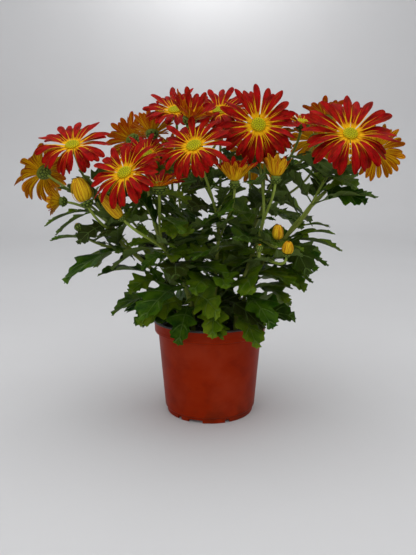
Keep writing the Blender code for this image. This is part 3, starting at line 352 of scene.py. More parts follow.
def turned(at, axis, profile, sides, tip=None, foot=None, waves=0.0):
    """Solid of revolution: profile points are (height, radius), waves lift every other point."""
    level, lift = cross_axes(axis)
    at = np.asarray(at, float)
    angle = np.arange(sides) * 2 * math.pi / sides
    spoke = np.cos(angle)[:, None] * level + np.sin(angle)[:, None] * lift
    wave = waves * np.where(np.arange(sides) % 2, 1.0, -1.0)[:, None] * axis
    rings = [at + h * axis + r * spoke + (wave if k else 0.0) for k, (h, r) in enumerate(profile)]
    ends = [None if h is None else at + h * axis for h in (tip, foot)]
    return loft(rings, *ends)


def bezier(points, count):
    """Points on a cubic curve at even steps of its parameter."""
    t = np.linspace(0.0, 1.0, count)[:, None]
    a, b, c, d = (np.asarray(p, float) for p in points)
    return a * (1 - t) ** 3 + 3 * b * t * (1 - t) ** 2 + 3 * c * t ** 2 * (1 - t) + d * t ** 3


def tube(path, radii, sides, swell=0.0):
    """Tube along a path, its section carried from point to point without twist."""
    path = np.asarray(path, float)
    tangents = np.gradient(path, axis=0)
    side = cross_axes(unit(tangents[0]))[0]
    angle = np.arange(sides) * 2 * math.pi / sides
    rings = []
    for point, tangent, radius in zip(path, tangents, radii):
        tangent = unit(tangent)
        side = unit(side - tangent * np.dot(side, tangent))
        other = np.cross(tangent, side)
        spoke = np.cos(angle)[:, None] * side + np.sin(angle)[:, None] * other
        rings.append(point + (radius + swell) * spoke)
    return loft(rings)


# %% [markdown]
# A ray is the strap-shaped petal of a daisy. Its middle line leaves the side of the receptacle at
# one slope and bends evenly to another, so a few numbers give it its droop.

# %% Rays
def ray_line(ray, s):
    """Points of a ray's middle line at shares s of its length, with the slope turning evenly from
    start to end, and the unit vectors across it and square to its face."""
    s = np.asarray(s, float)
    start, end = math.radians(ray["start"]), math.radians(ray["end"])
    bend = end - start if abs(end - start) > 1e-4 else 1e-4
    slope = start + bend * s
    out = ray["root"] + ray["length"] * (np.sin(slope) - math.sin(start)) / bend
    rise = -ROOT_DEPTH + ray["length"] * (math.cos(start) - np.cos(slope)) / bend
    axis, spoke = ray["axis"], ray["spoke"]
    face = np.cos(slope)[:, None] * axis - np.sin(slope)[:, None] * spoke
    across = np.cross(axis, spoke)
    line = ray["at"] + out[:, None] * spoke + rise[:, None] * axis
    line = line + (ray["sway"] * ray["length"] * s ** 2)[:, None] * across
    return line, across, face


def ray_sections(ray, stations, swell=0.0):
    """Three-cornered sections of a ray, flat above and keeled below, and its tip."""
    line, across, face = ray_line(ray, (*stations, 1.0))
    spread = np.interp(stations, (0.0, *RAY_STATIONS), (0.0, *RAY_SPREAD))
    width = RAY_ROOT_WIDTH + (ray["width"] - RAY_ROOT_WIDTH) * spread
    room = NECK_ROOM * 2 * math.pi * ((line[:-1] - ray["at"]) @ ray["spoke"]) / ray["count"]
    neck = np.asarray(stations) <= RAY_STATIONS[0]
    width = np.where(neck, np.minimum(width, room), width) + 2 * swell
    rings = []
    for point, w, normal in zip(line, width, face):
        top = point + swell * 0.8 * normal
        rings.append((top - across * w / 2, top + across * w / 2, point - (RAY_KEEL + swell) * normal))
    return np.array(rings), line[-1] + swell * (line[-1] - line[-2]) / 8


def ray_blade(ray, first, swell=0.0):
    """A ray by itself from the share first of its length on, with room of swell round it."""
    rings, tip = ray_sections(ray, (first, *RAY_STATIONS), swell)
    return loft(rings, tip=tip)


def ray_faces(t0, t1, b0, b1, at):
    """Faces of a ray from the four corners of its side of the receptacle to its tip, whose points
    start at the number at, and the number after its tip."""
    left, right, keel = at, at + 1, at + 2
    faces = [(t0, left, right), (t0, right, t1), (b0, keel, left), (b0, left, t0),
             (b1, right, keel), (b1, t1, right), (b0, b1, keel)]
    for row in range(len(RAY_STATIONS) - 1):
        l0, r0, k0 = at + 3 * row, at + 3 * row + 1, at + 3 * row + 2
        l1, r1, k1 = l0 + 3, r0 + 3, k0 + 3
        faces += [(l0, l1, r1), (l0, r1, r0), (k0, k1, l1), (k0, l1, l0), (k0, r1, k1), (k0, r0, r1)]
    end = at + 3 * len(RAY_STATIONS)
    l0, r0, k0 = end - 3, end - 2, end - 1
    faces += [(l0, end, r0), (k0, end, l0), (k0, r0, end)]
    return faces, end + 1


def rooted_ray(ray):
    """A ray by itself with its root on its side of the receptacle, drawn in from the shared corners."""
    rings, tip = ray_sections(ray, RAY_STATIONS)
    faces = ray_faces(0, 1, 2, 3, 4)[0] + [(0, 1, 3, 2)]
    return np.vstack((ray["corners"], rings.reshape(-1, 3), tip)), faces


# %% [markdown]
# A leaf hangs between its root on the stem and its tip, on a low arch, with cut edges.

# %% Leaves
def leaf_blade(leaf, swell=0.0):
    """A lobed leaf: its rib arches from root to tip, its cut edges stand a little above the rib."""
    root, tip = np.asarray(leaf["root"], float), np.asarray(leaf["tip"], float)
    edge, rib = np.array(leaf["shape"]["edge"]), np.array(leaf["shape"]["rib"])
    span = tip - root
    length = float(np.linalg.norm(span))
    level, lift = cross_axes(span / length)
    roll = math.radians(leaf["roll"])
    side = math.cos(roll) * level + math.sin(roll) * lift
    face = np.cross(span / length, side)

    def line(s):
        """The straight way from root to tip, raised by a parabola."""
        return root + span * s[:, None] + (leaf["arch"] * length * 4 * s * (1 - s))[:, None] * UP

    width = edge[:, 1] * length + swell
    rise = width[:, None] * LEAF_FOLD * face
    left = line(edge[:, 0]) + width[:, None] * side + rise
    right = line(edge[:, 0]) - width[:, None] * side + rise
    thick = (LEAF_THICKNESS / 2 + swell) * face
    n, m = len(edge), len(rib)
    verts = np.vstack((left, right, line(rib) + thick, line(rib) - thick, tip + 2 * swell * span / length))
    faces = []
    upper, lower, end = 2 * n, 2 * n + m, 2 * (n + m)
    for edge_start, rib_start, flip in ((0, upper, False), (n, upper, True),
                                        (0, lower, True), (n, lower, False)):
        first = {"edge": edge_start, "rib": rib_start, "tip": end}
        for corners in half_strip(edge[:, 0], rib):
            ids = [first[kind] + k for kind, k in corners]
            faces.append(tuple(reversed(ids)) if flip else tuple(ids))
    faces.append((0, 2 * n, n, 2 * n + m))
    return verts, faces


def half_strip(edge, rib):
    """Triangles between the rib and one edge of a leaf, from root to tip, where both lines end."""
    line_edge = [("edge", k) for k in range(len(edge))] + [("tip", 0)]
    line_rib = [("rib", k) for k in range(len(rib))] + [("tip", 0)]
    edge, rib = [*edge, 1.0], [*rib, 1.0]
    k = r = 0
    strip = []
    while (k, r) != (len(edge) - 1, len(rib) - 1):
        if r == len(rib) - 1 or (k < len(edge) - 1 and edge[k + 1] <= rib[r + 1]):
            new, k = line_edge[k + 1], k + 1
            corners = (line_rib[r], line_edge[k - 1], new)
        else:
            new, r = line_rib[r + 1], r + 1
            corners = (line_rib[r - 1], line_edge[k], new)
        if len(set(corners)) == 3:
            strip.append(corners)
    return strip


# %% [markdown]
# Nothing should run through anything else, so each new piece is tested against a search tree of
# all that stands already, and is bent, turned or shortened until it is clear, or left out. The
# test feels plain blades. The fine ones have wider lobes, teeth and waves, so at some places the
# leaves of two stems, or the petals of two blooms, still cross by a few millimetres.

# %% Room round the pieces
class Space:
    """Everything placed so far, so that a new piece can be bent clear of it."""

    def __init__(self):
        self.solids, self.trees = {}, {}

    def add(self, key, solid):
        """Puts one more solid under a key."""
        self.solids.setdefault(key, []).append(solid)
        self.trees[key] = tree_of(self.solids[key])

    def is_clear(self, solid, skip=()):
        """Whether a solid crosses nothing, but for what stands under the keys to skip."""
        tree = tree_of([solid])
        return not any(tree.overlap(other) for key, other in self.trees.items() if key not in skip)


def tree_of(solids):
    """Search tree over the faces of several solids."""
    verts, faces, start = [], [], 0
    for points, polygons in solids:
        verts += points.tolist()
        faces += [[k + start for k in polygon] for polygon in polygons]
        start += len(points)
    return BVHTree.FromPolygons(verts, faces)


def cup_rings(spot):
    """Heights along the axis and radii of the green cup (involucre), its top GAP below what it holds."""
    depth, top = CUP_DEPTH * spot["scale"], -spot["drum_depth"] - GAP
    return [(top - depth * (1 - h), CUP_RADIUS * spot["scale"] * r) for h, r in CUP_SHAPE]


def small_bud_rings(bud):
    """Heights and radii of a small green bud that swells from the end of its stalk."""
    return [(h * bud["radius"], r * bud["radius"]) for h, r in SMALL_BUD_SHAPE]


def bare(spot, shape, height, radius, sides=12, foot=(), **ends):
    """A turned solid at a bloom or bud: its foot, and then a shape of shares of a height and radius."""
    profile = [*foot, *((h * height, r * radius) for h, r in shape)]
    return turned(spot["at"], spot["axis"], profile, sides, **ends)


def drum_profile(bloom):
    """Heights and radii of the bare receptacle."""
    return [(-bloom["drum_depth"], bloom["drum_radius"]), (0.0, bloom["drum_radius"])]


def disc_of(bloom):
    """The domed disc of florets, its rings of points raised and lowered in turn."""
    return bare(bloom, DISC_SHAPE, DISC_HEIGHT, bloom["disc_radius"], DISC_SIDES,
                tip=DISC_HEIGHT * DISC_TIP, waves=DISC_RELIEF)


def heart_of(bloom, foot):
    """The bare heart of a half-open bloom, on its receptacle or on a foot that rays keep clear of."""
    return bare(bloom, HEART_SHAPE, HEART_HEIGHT, HEART_RADIUS, foot=foot, tip=HEART_HEIGHT)

# %% Rays, leaves and stalks that fit
def rays_of(bloom, rng):
    """The rays of one bloom, evenly round it with a seeded jitter, in two layers of slope."""
    level, lift = cross_axes(bloom["axis"])
    rays = []
    drop = np.array((1.0, 1.0, DRUM_TAPER, DRUM_TAPER))[:, None]
    below = np.array((0.0, 0.0, DRUM_DEPTH, DRUM_DEPTH))[:, None]
    side = np.array((-0.5, 0.5, -0.5, 0.5))[:, None] * (1 - DRAW_IN)
    for k in range(bloom["rays"]):
        turn = 2 * math.pi * (k + side) / bloom["rays"]
        corners = bloom["drum_radius"] * drop * (np.cos(turn) * level + np.sin(turn) * lift)
        jitter = rng.uniform(-1.0, 1.0, 5)
        angle = 2 * math.pi * (k + TURN_JITTER * jitter[0]) / bloom["rays"]
        spoke = math.cos(angle) * level + math.sin(angle) * lift
        root = bloom["drum_radius"] * math.cos(math.pi / bloom["rays"])
        layer = RAY_LAYER_SLOPE * (1 if k % 2 else -1)
        low = max(0.0, -math.sin(angle))
        rays.append(dict(
            at=bloom["at"], axis=bloom["axis"], spoke=spoke, root=root, count=bloom["rays"],
            corners=bloom["at"] + corners - below * bloom["axis"],
            start=min(STEEPEST, bloom["start"] + layer + SLOPE_JITTER * jitter[1]),
            end=bloom["end"] + layer + 2 * SLOPE_JITTER * jitter[2] - bloom["hang"] * low,
            length=(bloom["reach"] - root) * (1 + LENGTH_JITTER * jitter[3]),
            width=bloom["width"] * (1 - 0.5 * LENGTH_JITTER * jitter[3]), sway=SWAY_JITTER * jitter[4]))
    return rays


def fitted_ray(ray, space, skip, near, roots):
    """The ray, bent up or down or shortened as little as it takes to be clear, or None. The rays
    near it in its own bloom touch it at the corners of its root, and must not cross it there."""
    for size in RAY_SIZES:
        for bend in RAY_BENDS:
            for lean in RAY_LEANS:
                trial = dict(ray, end=ray["end"] + bend, start=min(STEEPEST, ray["start"] + lean),
                             length=ray["length"] * size)
                free = near.is_clear(ray_blade(trial, RAY_FREE, NEXT_RAY_CLEARANCE))
                free = free and roots.is_clear(rooted_ray(trial))
                if free and space.is_clear(ray_blade(trial, RAY_FOOT, RAY_CLEARANCE), skip):
                    return trial
    return None


def fitted_leaf(leaf, space, skip, turns=LEAF_TURNS, lifts=LEAF_LIFTS):
    """The leaf, turned, lifted or shortened as little as it takes to be clear, or None."""
    root = np.asarray(leaf["root"], float)
    span = np.asarray(leaf["tip"], float) - root
    length = float(np.linalg.norm(span))
    turn = math.degrees(math.atan2(span[1], span[0]))
    lift = math.degrees(math.asin(span[2] / length))
    for size in LEAF_SIZES:
        for side in turns:
            for rise in lifts:
                tip = root + heading(turn + side, lift + rise) * length * size
                trial = dict(leaf, tip=tip)
                if space.is_clear(leaf_blade(trial, CLEARANCE), skip):
                    return trial
    return None


def stalk_points(spot, stem, share):
    """Control points of a stalk from a place on its main stem to the cup, which it meets along its axis."""
    start = point_at(stem["path"], share)
    along = unit(point_at(stem["path"], min(share + 0.02, 1.0)) - point_at(stem["path"], share - 0.02))
    end = spot["at"] + spot["axis"] * spot["rings"][0][0]
    reach = float(np.linalg.norm(end - start))
    return [start, start + (along * 0.6 + UP * 0.4) * reach * 0.33, end - spot["axis"] * reach * 0.34, end]


def fitted_stalk(points, radii, space, skip):
    """The stalk's control points, its middle swung aside as little as it takes to be clear."""
    side, other = cross_axes(unit(points[3] - points[0]))
    for swing in STALK_SWINGS:
        for turn in range(0, 360, 45 if swing else 360):
            shift = swing * (math.cos(math.radians(turn)) * side + math.sin(math.radians(turn)) * other)
            swung = (points[0], points[1] + shift, points[2] + 0.6 * shift, points[3])
            if space.is_clear(tube(bezier(swung, STALK_POINTS), radii, STALK_SIDES, CLEARANCE), skip):
                return swung
    return points


def point_at(path, share):
    """The point at a share of a path's steps."""
    place = share * (len(path) - 1)
    k = min(int(place), len(path) - 2)
    return path[k] + (path[k + 1] - path[k]) * (place - k)


def place_leaf(space, number, carrier, share, tip, shape, arch, roll):
    """Fits one leaf to its stem and adds it, where there is room for it."""
    key, path = carrier
    leaf = dict(root=point_at(path, share), tip=tip, shape=shape, arch=arch, roll=roll)
    leaf = fitted_leaf(leaf, space, {key})
    if leaf is not None:
        space.add("leaves_%d" % number, leaf_blade(leaf))
        STEMS[number]["leaves"].append(leaf)


def settle(spot):
    """Turns a bloom's or bud's place and heading into arrays, and works out the rings of its cup."""
    spot.update(at=np.array(spot["at"], float), axis=heading(spot["turn"], spot["lift"]))
    spot["rings"] = small_bud_rings(spot) if spot["kind"] == "small" else cup_rings(spot)


def fit_rays(bloom, rng, space, key, skip, heart=None):
    """Fits the rays of a bloom one after another, and clear of its heart where it has one."""
    near, roots, bloom["fitted"] = Space(), Space(), []
    if heart is not None:
        roots.add("heart", heart)
    for ray in rays_of(bloom, rng):
        ray = fitted_ray(ray, space, skip | {key}, near, roots)
        bloom["fitted"].append(ray)
        if ray is not None:
            near.add("rays", ray_blade(ray, RAY_FREE))
            roots.add("rays", rooted_ray(ray))
            space.add(key, ray_blade(ray, RAY_FOOT))

# %% The pot and the soil as obstacles
def pot_shell():
    """The pot before its notches and drain holes are cut: a turned shell with a collar and a foot ring."""
    profile = (*POT_OUTSIDE, (LIP_Z, COLLAR_TOP_RADIUS), (LIP_Z, RIM_RADIUS), (POT_HEIGHT, RIM_RADIUS),
               (POT_HEIGHT, COLLAR_TOP_RADIUS - WALL), *POT_INSIDE)
    return turned((0, 0, 0), UP, profile, POT_SIDES, tip=FLOOR_TOP, foot=FLOOR_HEIGHT)


def soil_body(rng):
    """The growing medium before its holes are made, with an uneven top."""
    floor = FLOOR_TOP + GAP
    profile = [(floor, HEEL_RADIUS - HEEL_FILLET - 0.4), (HEEL_HEIGHT + 1.4, HEEL_RADIUS - WALL - 0.5),
               (SOIL_TOP - 1.0, NECK_RADIUS - WALL - 0.4), (SOIL_TOP, SOIL_SHOULDER),
               (SOIL_TOP, SOIL_MIDDLE)]
    verts, faces = turned((0, 0, 0), UP, profile, SOIL_SIDES, tip=SOIL_TOP, foot=floor)
    verts = verts.copy()
    crumbs = slice(3 * SOIL_SIDES, 5 * SOIL_SIDES)
    verts[crumbs, 2] += rng.uniform(-SOIL_RELIEF, SOIL_RELIEF, 2 * SOIL_SIDES)
    return verts, faces

# %% Grow the plant
def grow():
    """Places every piece of the plant, and returns the space that they fill."""
    space, rng = Space(), np.random.default_rng(SEED)
    space.add("pot", pot_shell())
    space.add("soil", soil_body(np.random.default_rng(SEED)))

    # Main stems first, then the hearts and cups of all blooms, then the stalks between them
    for number, stem in STEMS.items():
        foot = np.array((*stem["foot"], HOLE_FLOOR + GAP))
        bend = np.array((*stem["foot"], STRAIGHT_TOP))
        top = np.array(stem["top"], float)
        rise = float(np.linalg.norm(top - bend))
        lean = unit(top - bend + UP * STEM_UPRIGHT)
        stem["curve"] = (bend, bend + UP * 0.45 * rise, top - lean * 0.3 * rise, top)
        stem["path"] = np.vstack((foot, bezier(stem["curve"], STEM_POINTS)))
        stem["tubes"] = [("main_%d" % number, stem["path"])]
        stem["stalks"] = []
        stem["leaves"] = []
        solid = tube(stem["path"], np.linspace(STEM_RADIUS, STEM_TOP_RADIUS, len(stem["path"])), STEM_SIDES)
        space.add("main_%d" % number, solid)

    spots = []
    for name, bloom in BLOOMS.items():
        cupped = bloom["start"] >= CUPPED_SLOPE
        bloom.update(kind="bloom", scale=1.0, drum_depth=DRUM_DEPTH,
                     width=RAY_WIDTH * bloom["reach"] / USUAL_REACH,
                     drum_radius=CUPPED_DRUM_RADIUS if cupped else DRUM_RADIUS,
                     disc_radius=CUPPED_DISC_RADIUS if cupped else DISC_RADIUS)
        settle(bloom)
        space.add("disc_" + name, disc_of(bloom))
        space.add("drum_" + name, bare(bloom, (), 0.0, 0.0, foot=drum_profile(bloom)))
        spots.append(("cup_" + name, bloom, {"drum_" + name, "disc_" + name}))
    for name, bloom in HALF_OPEN.items():
        bloom.update(kind="bloom", scale=HALF_OPEN_SCALE, drum_depth=DRUM_DEPTH, width=HALF_OPEN_WIDTH,
                     hang=0, drum_radius=HEART_RADIUS)
        settle(bloom)
        space.add("heart_" + name, heart_of(bloom, drum_profile(bloom)))
        spots.append(("half_cup_" + name, bloom, {"heart_" + name}))
    for name, bud in BUDS.items():
        bud.update(kind="bud", scale=bud["radius"] / BUD_CUP_RADIUS, drum_depth=0.0)
        settle(bud)
        space.add("bud_" + name, bare(bud, BUD_SHAPE, bud["length"], bud["radius"], BUD_SIDES,
                                      tip=bud["length"]))
        spots.append(("bud_cup_" + name, bud, {"bud_" + name}))
    for name, bud in SMALL_BUDS.items():
        bud.update(kind="small")
        settle(bud)
        spots.append(("small_bud_" + name, bud, set()))
    for key, spot, own in spots:
        space.add(key, turned(spot["at"], spot["axis"], spot["rings"], 8))

    for number, stem in STEMS.items():
        carried = [entry for entry in spots if entry[1]["stem"] == number]
        carried.sort(key=lambda entry: entry[1]["at"][2])
        own_keys = {"main_%d" % number}
        for k, (key, spot, own) in enumerate(carried):
            share = FIRST_FORK + (LAST_FORK - FIRST_FORK) * (k + 1) / len(carried)
            radii = np.full(STALK_POINTS, STALK_RADIUS)
            radii[-1] = spot["rings"][0][1]
            points = stalk_points(spot, stem, share)
            curve = fitted_stalk(points, radii, space, own_keys | own | {key})
            path = bezier(curve, STALK_POINTS)
            stalk_key = "stalk_%d_%d" % (number, k)
            space.add(stalk_key, tube(path, radii, STALK_SIDES))
            own_keys.add(stalk_key)
            stem["tubes"].append((stalk_key, path))
            stem["stalks"].append((curve, spot))

    # Rays, bloom by bloom
    for name, bloom in BLOOMS.items():
        fit_rays(bloom, rng, space, "rays_" + name, {"drum_" + name})
    for name, bloom in HALF_OPEN.items():
        heart = heart_of(bloom, [(0.1 * HEART_HEIGHT, 0.8 * HEART_RADIUS)])
        fit_rays(bloom, rng, space, "half_" + name, {"heart_" + name}, heart)

    # Leaves: first those of the outline, then up each stem by the golden angle, then bracts
    for number, share, tip in OUTER_LEAVES:
        place_leaf(space, number, STEMS[number]["tubes"][0], share, np.array(tip, float),
                   LOBED, OUTER_ARCH, 0.0)
    for number, stem in STEMS.items():
        main = stem["tubes"][0]
        height = main[1][-1][2] - STRAIGHT_TOP
        count = int(height / LEAF_PITCH)
        for k in range(count):
            share = LOWEST_LEAF + (HIGHEST_LEAF - LOWEST_LEAF) * (k + rng.uniform(0.2, 0.8)) / count
            size = LOW_LEAF + (HIGH_LEAF - LOW_LEAF) * k / count + rng.uniform(-4, 4)
            turn = stem["turn"] + GOLDEN_TURN * k + rng.uniform(-15, 15)
            lift = rng.uniform(*LEAF_DROOP)
            root = point_at(main[1], share)
            place_leaf(space, number, main, share, root + heading(turn, lift) * size, LOBED, LEAF_ARCH,
                       rng.uniform(-LEAF_ROLL, LEAF_ROLL))
    for tier, (low, high, size, shape) in enumerate(STALK_LEAVES):
        for number, stem in STEMS.items():
            for k, stalk in enumerate(stem["tubes"][1:]):
                share = rng.uniform(low, high)
                length = size + rng.uniform(-STALK_LEAF_JITTER, STALK_LEAF_JITTER)
                turn = stem["turn"] + GOLDEN_TURN * (2 * k + 1 + tier)
                tip = point_at(stalk[1], share) + heading(turn, rng.uniform(*STALK_LEAF_PITCH)) * length
                place_leaf(space, number, stalk, share, tip, shape, STALK_LEAF_ARCH,
                           rng.uniform(-LEAF_ROLL, LEAF_ROLL))
    return space


space = grow()
print("rays:", sum(ray is not None for bloom in BLOOMS.values() for ray in bloom["fitted"]))
print("leaves:", {number: len(stem["leaves"]) for number, stem in STEMS.items()})

# %% [markdown]
# ## From arrays to meshes
# Each fine surface is a dict of arrays: its points, its four-cornered and three-cornered faces,
# and facts about them that the finishes read. A node could hold hundreds of objects. Instead all
# surfaces of one node are joined into one piece, so that it rides and exports as one.

# %% Surfaces as arrays, and the mesh made of them
NO_TRIS = np.zeros((0, 3), int)


def surface(points, quads, tris=NO_TRIS, uv=None, tone=0.5, grain=None, under=0.0, finish=0):
    """One closed surface: uv runs across and along it, tone is one random number for all of it,
    grain is a place in a straightened copy of it, and under is 1 on the faces of its lower side."""
    count = len(points)
    faces = len(quads) + len(tris)
    return dict(points=points, quads=quads, tris=tris,
                uv=np.zeros((count, 2)) if uv is None else uv,
                tone=np.broadcast_to(np.asarray(tone, float), (count,)),
                grain=np.asarray(points, float) if grain is None else grain,
                under=np.broadcast_to(np.asarray(under, float), (faces,)),
                finish=np.broadcast_to(np.asarray(finish, int), (faces,)))


def mesh_piece(name, surfaces, finishes, sharp=50.0):
    """One object from many surfaces: their arrays are laid end to end, and the numbers of each
    surface's points are raised by the count of the points before it."""
    starts = np.cumsum([0] + [len(s["points"]) for s in surfaces])
    points = np.concatenate([s["points"] for s in surfaces])
    quads = np.concatenate([s["quads"] + start for s, start in zip(surfaces, starts)])
    tris = np.concatenate([s["tris"] + start for s, start in zip(surfaces, starts)])
    corners = np.concatenate((quads.ravel(), tris.ravel()))
    sizes = np.repeat((4, 3), (len(quads), len(tris)))
    mesh = bpy.data.meshes.new(name)
    mesh.vertices.add(len(points))
    mesh.vertices.foreach_set("co", (points * MM).ravel())
    mesh.loops.add(len(corners))
    mesh.loops.foreach_set("vertex_index", corners)
    mesh.polygons.add(len(sizes))
    mesh.polygons.foreach_set("loop_start", np.cumsum(sizes) - sizes)
    mesh.update(calc_edges=True)
    uv = np.concatenate([s["uv"] for s in surfaces])
    mesh.uv_layers.new(name="UVMap").data.foreach_set("uv", uv[corners].ravel())
    tone = np.concatenate([s["tone"] for s in surfaces])
    mesh.attributes.new("tone", "FLOAT", "POINT").data.foreach_set("value", tone)
    grain = np.concatenate([s["grain"] for s in surfaces])
    mesh.attributes.new("grain", "FLOAT_VECTOR", "POINT").data.foreach_set("vector", grain.ravel())
    for fact, kind in (("under", "FLOAT"), ("finish", "INT")):
        split = [(s[fact][:len(s["quads"])], s[fact][len(s["quads"]):]) for s in surfaces]
        values = np.concatenate([four for four, three in split] + [three for four, three in split])
        if fact == "under":
            mesh.attributes.new("under", kind, "FACE").data.foreach_set("value", values)
        else:
            mesh.polygons.foreach_set("material_index", values)
    for finish in finishes:
        mesh.materials.append(finish)
    mesh.shade_smooth()
    mesh.set_sharp_from_angle(angle=math.radians(sharp))
    piece = bpy.data.objects.new(name, mesh)
    bpy.context.scene.collection.objects.link(piece)
    return piece


def stand_for(piece, slot, *nodes):
    """Lets a piece ride on the plant's one body and stand for its nodes, which are hidden. slot is not used.
    """
    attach(piece, "root")
    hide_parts(*nodes)


# %% [markdown]
# ### Blades
# Petals and leaves are the same kind of thing: a thin sheet along a middle line. A flat strip with
# a Solidify modifier would do, but its rim would be a blunt wall. Here an upper and a lower grid
# share the points of their rim and swell apart between them, so the sheet is closed and thins out
# towards its edge as a real one does. All blades of a kind are computed in one go.

# %% Sheets along middle lines
def blades(line, across, face, half, rise, thick, tip, u, tone, share, shift=0.0, rib=0.0):
    """Blades as closed sheets. A point of a blade is its middle line, plus u times the half width
    across it, plus the rise square to it, plus the shift; the upper and the lower side stand off
    that sheet by half the thickness times (1 - u squared), and the last row runs into the tip.
    line, across, face: (blades, rows, 3); half, thick: (blades, rows); rise: (blades, rows,
    columns); shift: the same with 3 numbers; share: the v of each row and of the tip; rib: how far
    the lower side stands out along the middle, row by row."""
    count, rows = half.shape
    columns = len(u)
    body = (np.arange(rows) > 0)[None, :, None]
    middle = line[:, :, None] + across[:, :, None] * (half[..., None] * u)[..., None]
    middle = middle + face[:, :, None] * rise[..., None] + shift
    swell = thick[..., None] / 2 * (1 - u ** 2) * body
    ridge = np.exp(-(u / 0.14) ** 2) * np.reshape(rib, (1, -1, 1)) * body
    upper = middle + face[:, :, None] * (swell - 0.3 * ridge)[..., None]
    lower = middle - face[:, :, None] * (swell + ridge)[..., None]
    points = np.concatenate((upper.reshape(count, -1, 3), lower[:, 1:, 1:-1].reshape(count, -1, 3),
                             tip[:, None]), axis=1)
    top = np.arange(rows * columns).reshape(rows, columns)
    low = top.copy()
    low[1:, 1:-1] = rows * columns + np.arange((rows - 1) * (columns - 2)).reshape(rows - 1, -1)
    quads = np.concatenate((np.stack((top[:-1, :-1], top[1:, :-1], top[1:, 1:], top[:-1, 1:]), -1),
                            np.stack((low[:-1, :-1], low[:-1, 1:], low[1:, 1:], low[1:, :-1]), -1)))
    quads = quads.reshape(-1, 4)
    last = np.full(columns - 1, points.shape[1] - 1)
    tris = np.concatenate((np.stack((top[-1, :-1], last, top[-1, 1:]), -1),
                           np.stack((low[-1, :-1], low[-1, 1:], last), -1)))
    step = (np.arange(count) * points.shape[1])[:, None, None]
    sides = np.repeat((0.0, 1.0), len(quads) // 2)
    ends = np.repeat((0.0, 1.0), columns - 1)
    grid = np.stack(np.broadcast_arrays((u + 1) / 2, share[:-1, None]), -1)
    uv = np.concatenate((grid.reshape(-1, 2), grid[1:, 1:-1].reshape(-1, 2), ((0.5, share[-1]),)))
    return surface(points.reshape(-1, 3), (quads + step).reshape(-1, 4), (tris + step).reshape(-1, 3),
                   uv=np.tile(uv, (count, 1)), tone=np.repeat(tone, points.shape[1]),
                   under=np.concatenate((np.tile(sides, count), np.tile(ends, count))))


# %% [markdown]
# ### Rings
# Stalks, cups, buds, discs and the pot are rings of points joined side by side and closed at both
# ends by a point. Curves with a bevel would give the stalks, but not the swelling of a cup at
# their end, so rings serve for all.

# %% Closed rings of points, turned bodies and stalks
def closed_rings(rings, foot, tip, tone=0.5, grain=None, finish=0):
    """A closed skin through rings (rows, sides, 3): four-cornered faces between neighbours, and a
    fan of three-cornered ones to the foot and to the tip. tone may be one number for each point,
    and finish one for each band between two rings."""
    rows, sides = rings.shape[:2]
    if np.ndim(tone):
        tone = np.append(tone, (0.5, 0.5))
    if np.ndim(finish):
        finish = np.concatenate((np.repeat(finish, sides), np.repeat(finish[0], sides),
                                 np.repeat(finish[-1], sides)))
    points = np.concatenate((rings.reshape(-1, 3), (foot, tip)))
    here = np.arange(rows * sides).reshape(rows, sides)
    after = np.roll(here, -1, axis=1)
    quads = np.stack((here[:-1], after[:-1], after[1:], here[1:]), -1).reshape(-1, 4)
    low = np.full(sides, rows * sides)
    tris = np.concatenate((np.stack((after[0], here[0], low), -1),
                           np.stack((here[-1], after[-1], low + 1), -1)))
    share = np.broadcast_to(np.linspace(0.0, 1.0, rows)[:, None], (rows, sides))
    turn = np.broadcast_to(np.arange(sides) / sides, (rows, sides))
    uv = np.concatenate((np.stack((turn, share), -1).reshape(-1, 2), ((0.5, 0.0), (0.5, 1.0))))
    if grain is not None:
        grain = np.concatenate((grain.reshape(-1, 3), grain[0].mean(0)[None], grain[-1].mean(0)[None]))
    return surface(points, quads, tris, uv=uv, tone=tone, grain=grain, finish=finish)


def turned_skin(at, axis, heights, radii, tone=0.5, finish=0):
    """A turned body: ring k stands at heights[k] on the axis, and its radius may change from side to
    side. heights, radii: (rows, sides)."""
    level, lift = cross_axes(axis)
    angle = np.arange(radii.shape[1]) * 2 * math.pi / radii.shape[1]
    spoke = np.cos(angle)[:, None] * level + np.sin(angle)[:, None] * lift
    rings = at + heights[..., None] * axis + radii[..., None] * spoke
    grain = np.stack((radii * np.cos(angle), radii * np.sin(angle), heights), -1)
    foot = at + heights[0].mean() * axis
    tip = at + heights[-1].mean() * axis
    return closed_rings(rings, foot, tip, tone, grain, finish)


def stalk_skin(path, radii, sides=10, ribs=5, tone=0.5, finish=0):
    """A stalk: rings square to the path, whose radius rises and falls ribs times round it. The rings
    keep one reference direction, so they don't twist."""
    tangent = np.gradient(path, axis=0)
    tangent = tangent / np.linalg.norm(tangent, axis=1, keepdims=True)
    guide = cross_axes(unit(path[-1] - path[0]))[0]
    side = np.cross(guide, tangent)
    side = side / np.linalg.norm(side, axis=1, keepdims=True)
    other = np.cross(tangent, side)
    angle = np.arange(sides) * 2 * math.pi / sides
    spoke = np.cos(angle)[:, None] * side[:, None] + np.sin(angle)[:, None] * other[:, None]
    radius = radii[:, None] * (1 + 0.07 * np.cos(ribs * angle))
    rings = path[:, None] + radius[..., None] * spoke
    length = np.concatenate(((0.0,), np.cumsum(np.linalg.norm(np.diff(path, axis=0), axis=1))))
    grain = np.broadcast_arrays(radius * np.cos(angle), radius * np.sin(angle), length[:, None])
    grain = np.stack(grain, -1)
    return closed_rings(rings, path[0], path[-1], tone, grain, finish)

# %% [markdown]
# ## Finishes
# A finish is a small net of nodes that ends in one Principled shader. Values that are the same all
# over a surface are set on the shader itself. What changes along a petal or a leaf is worked out
# from its own UV map: u runs across it and v from its root to its tip.

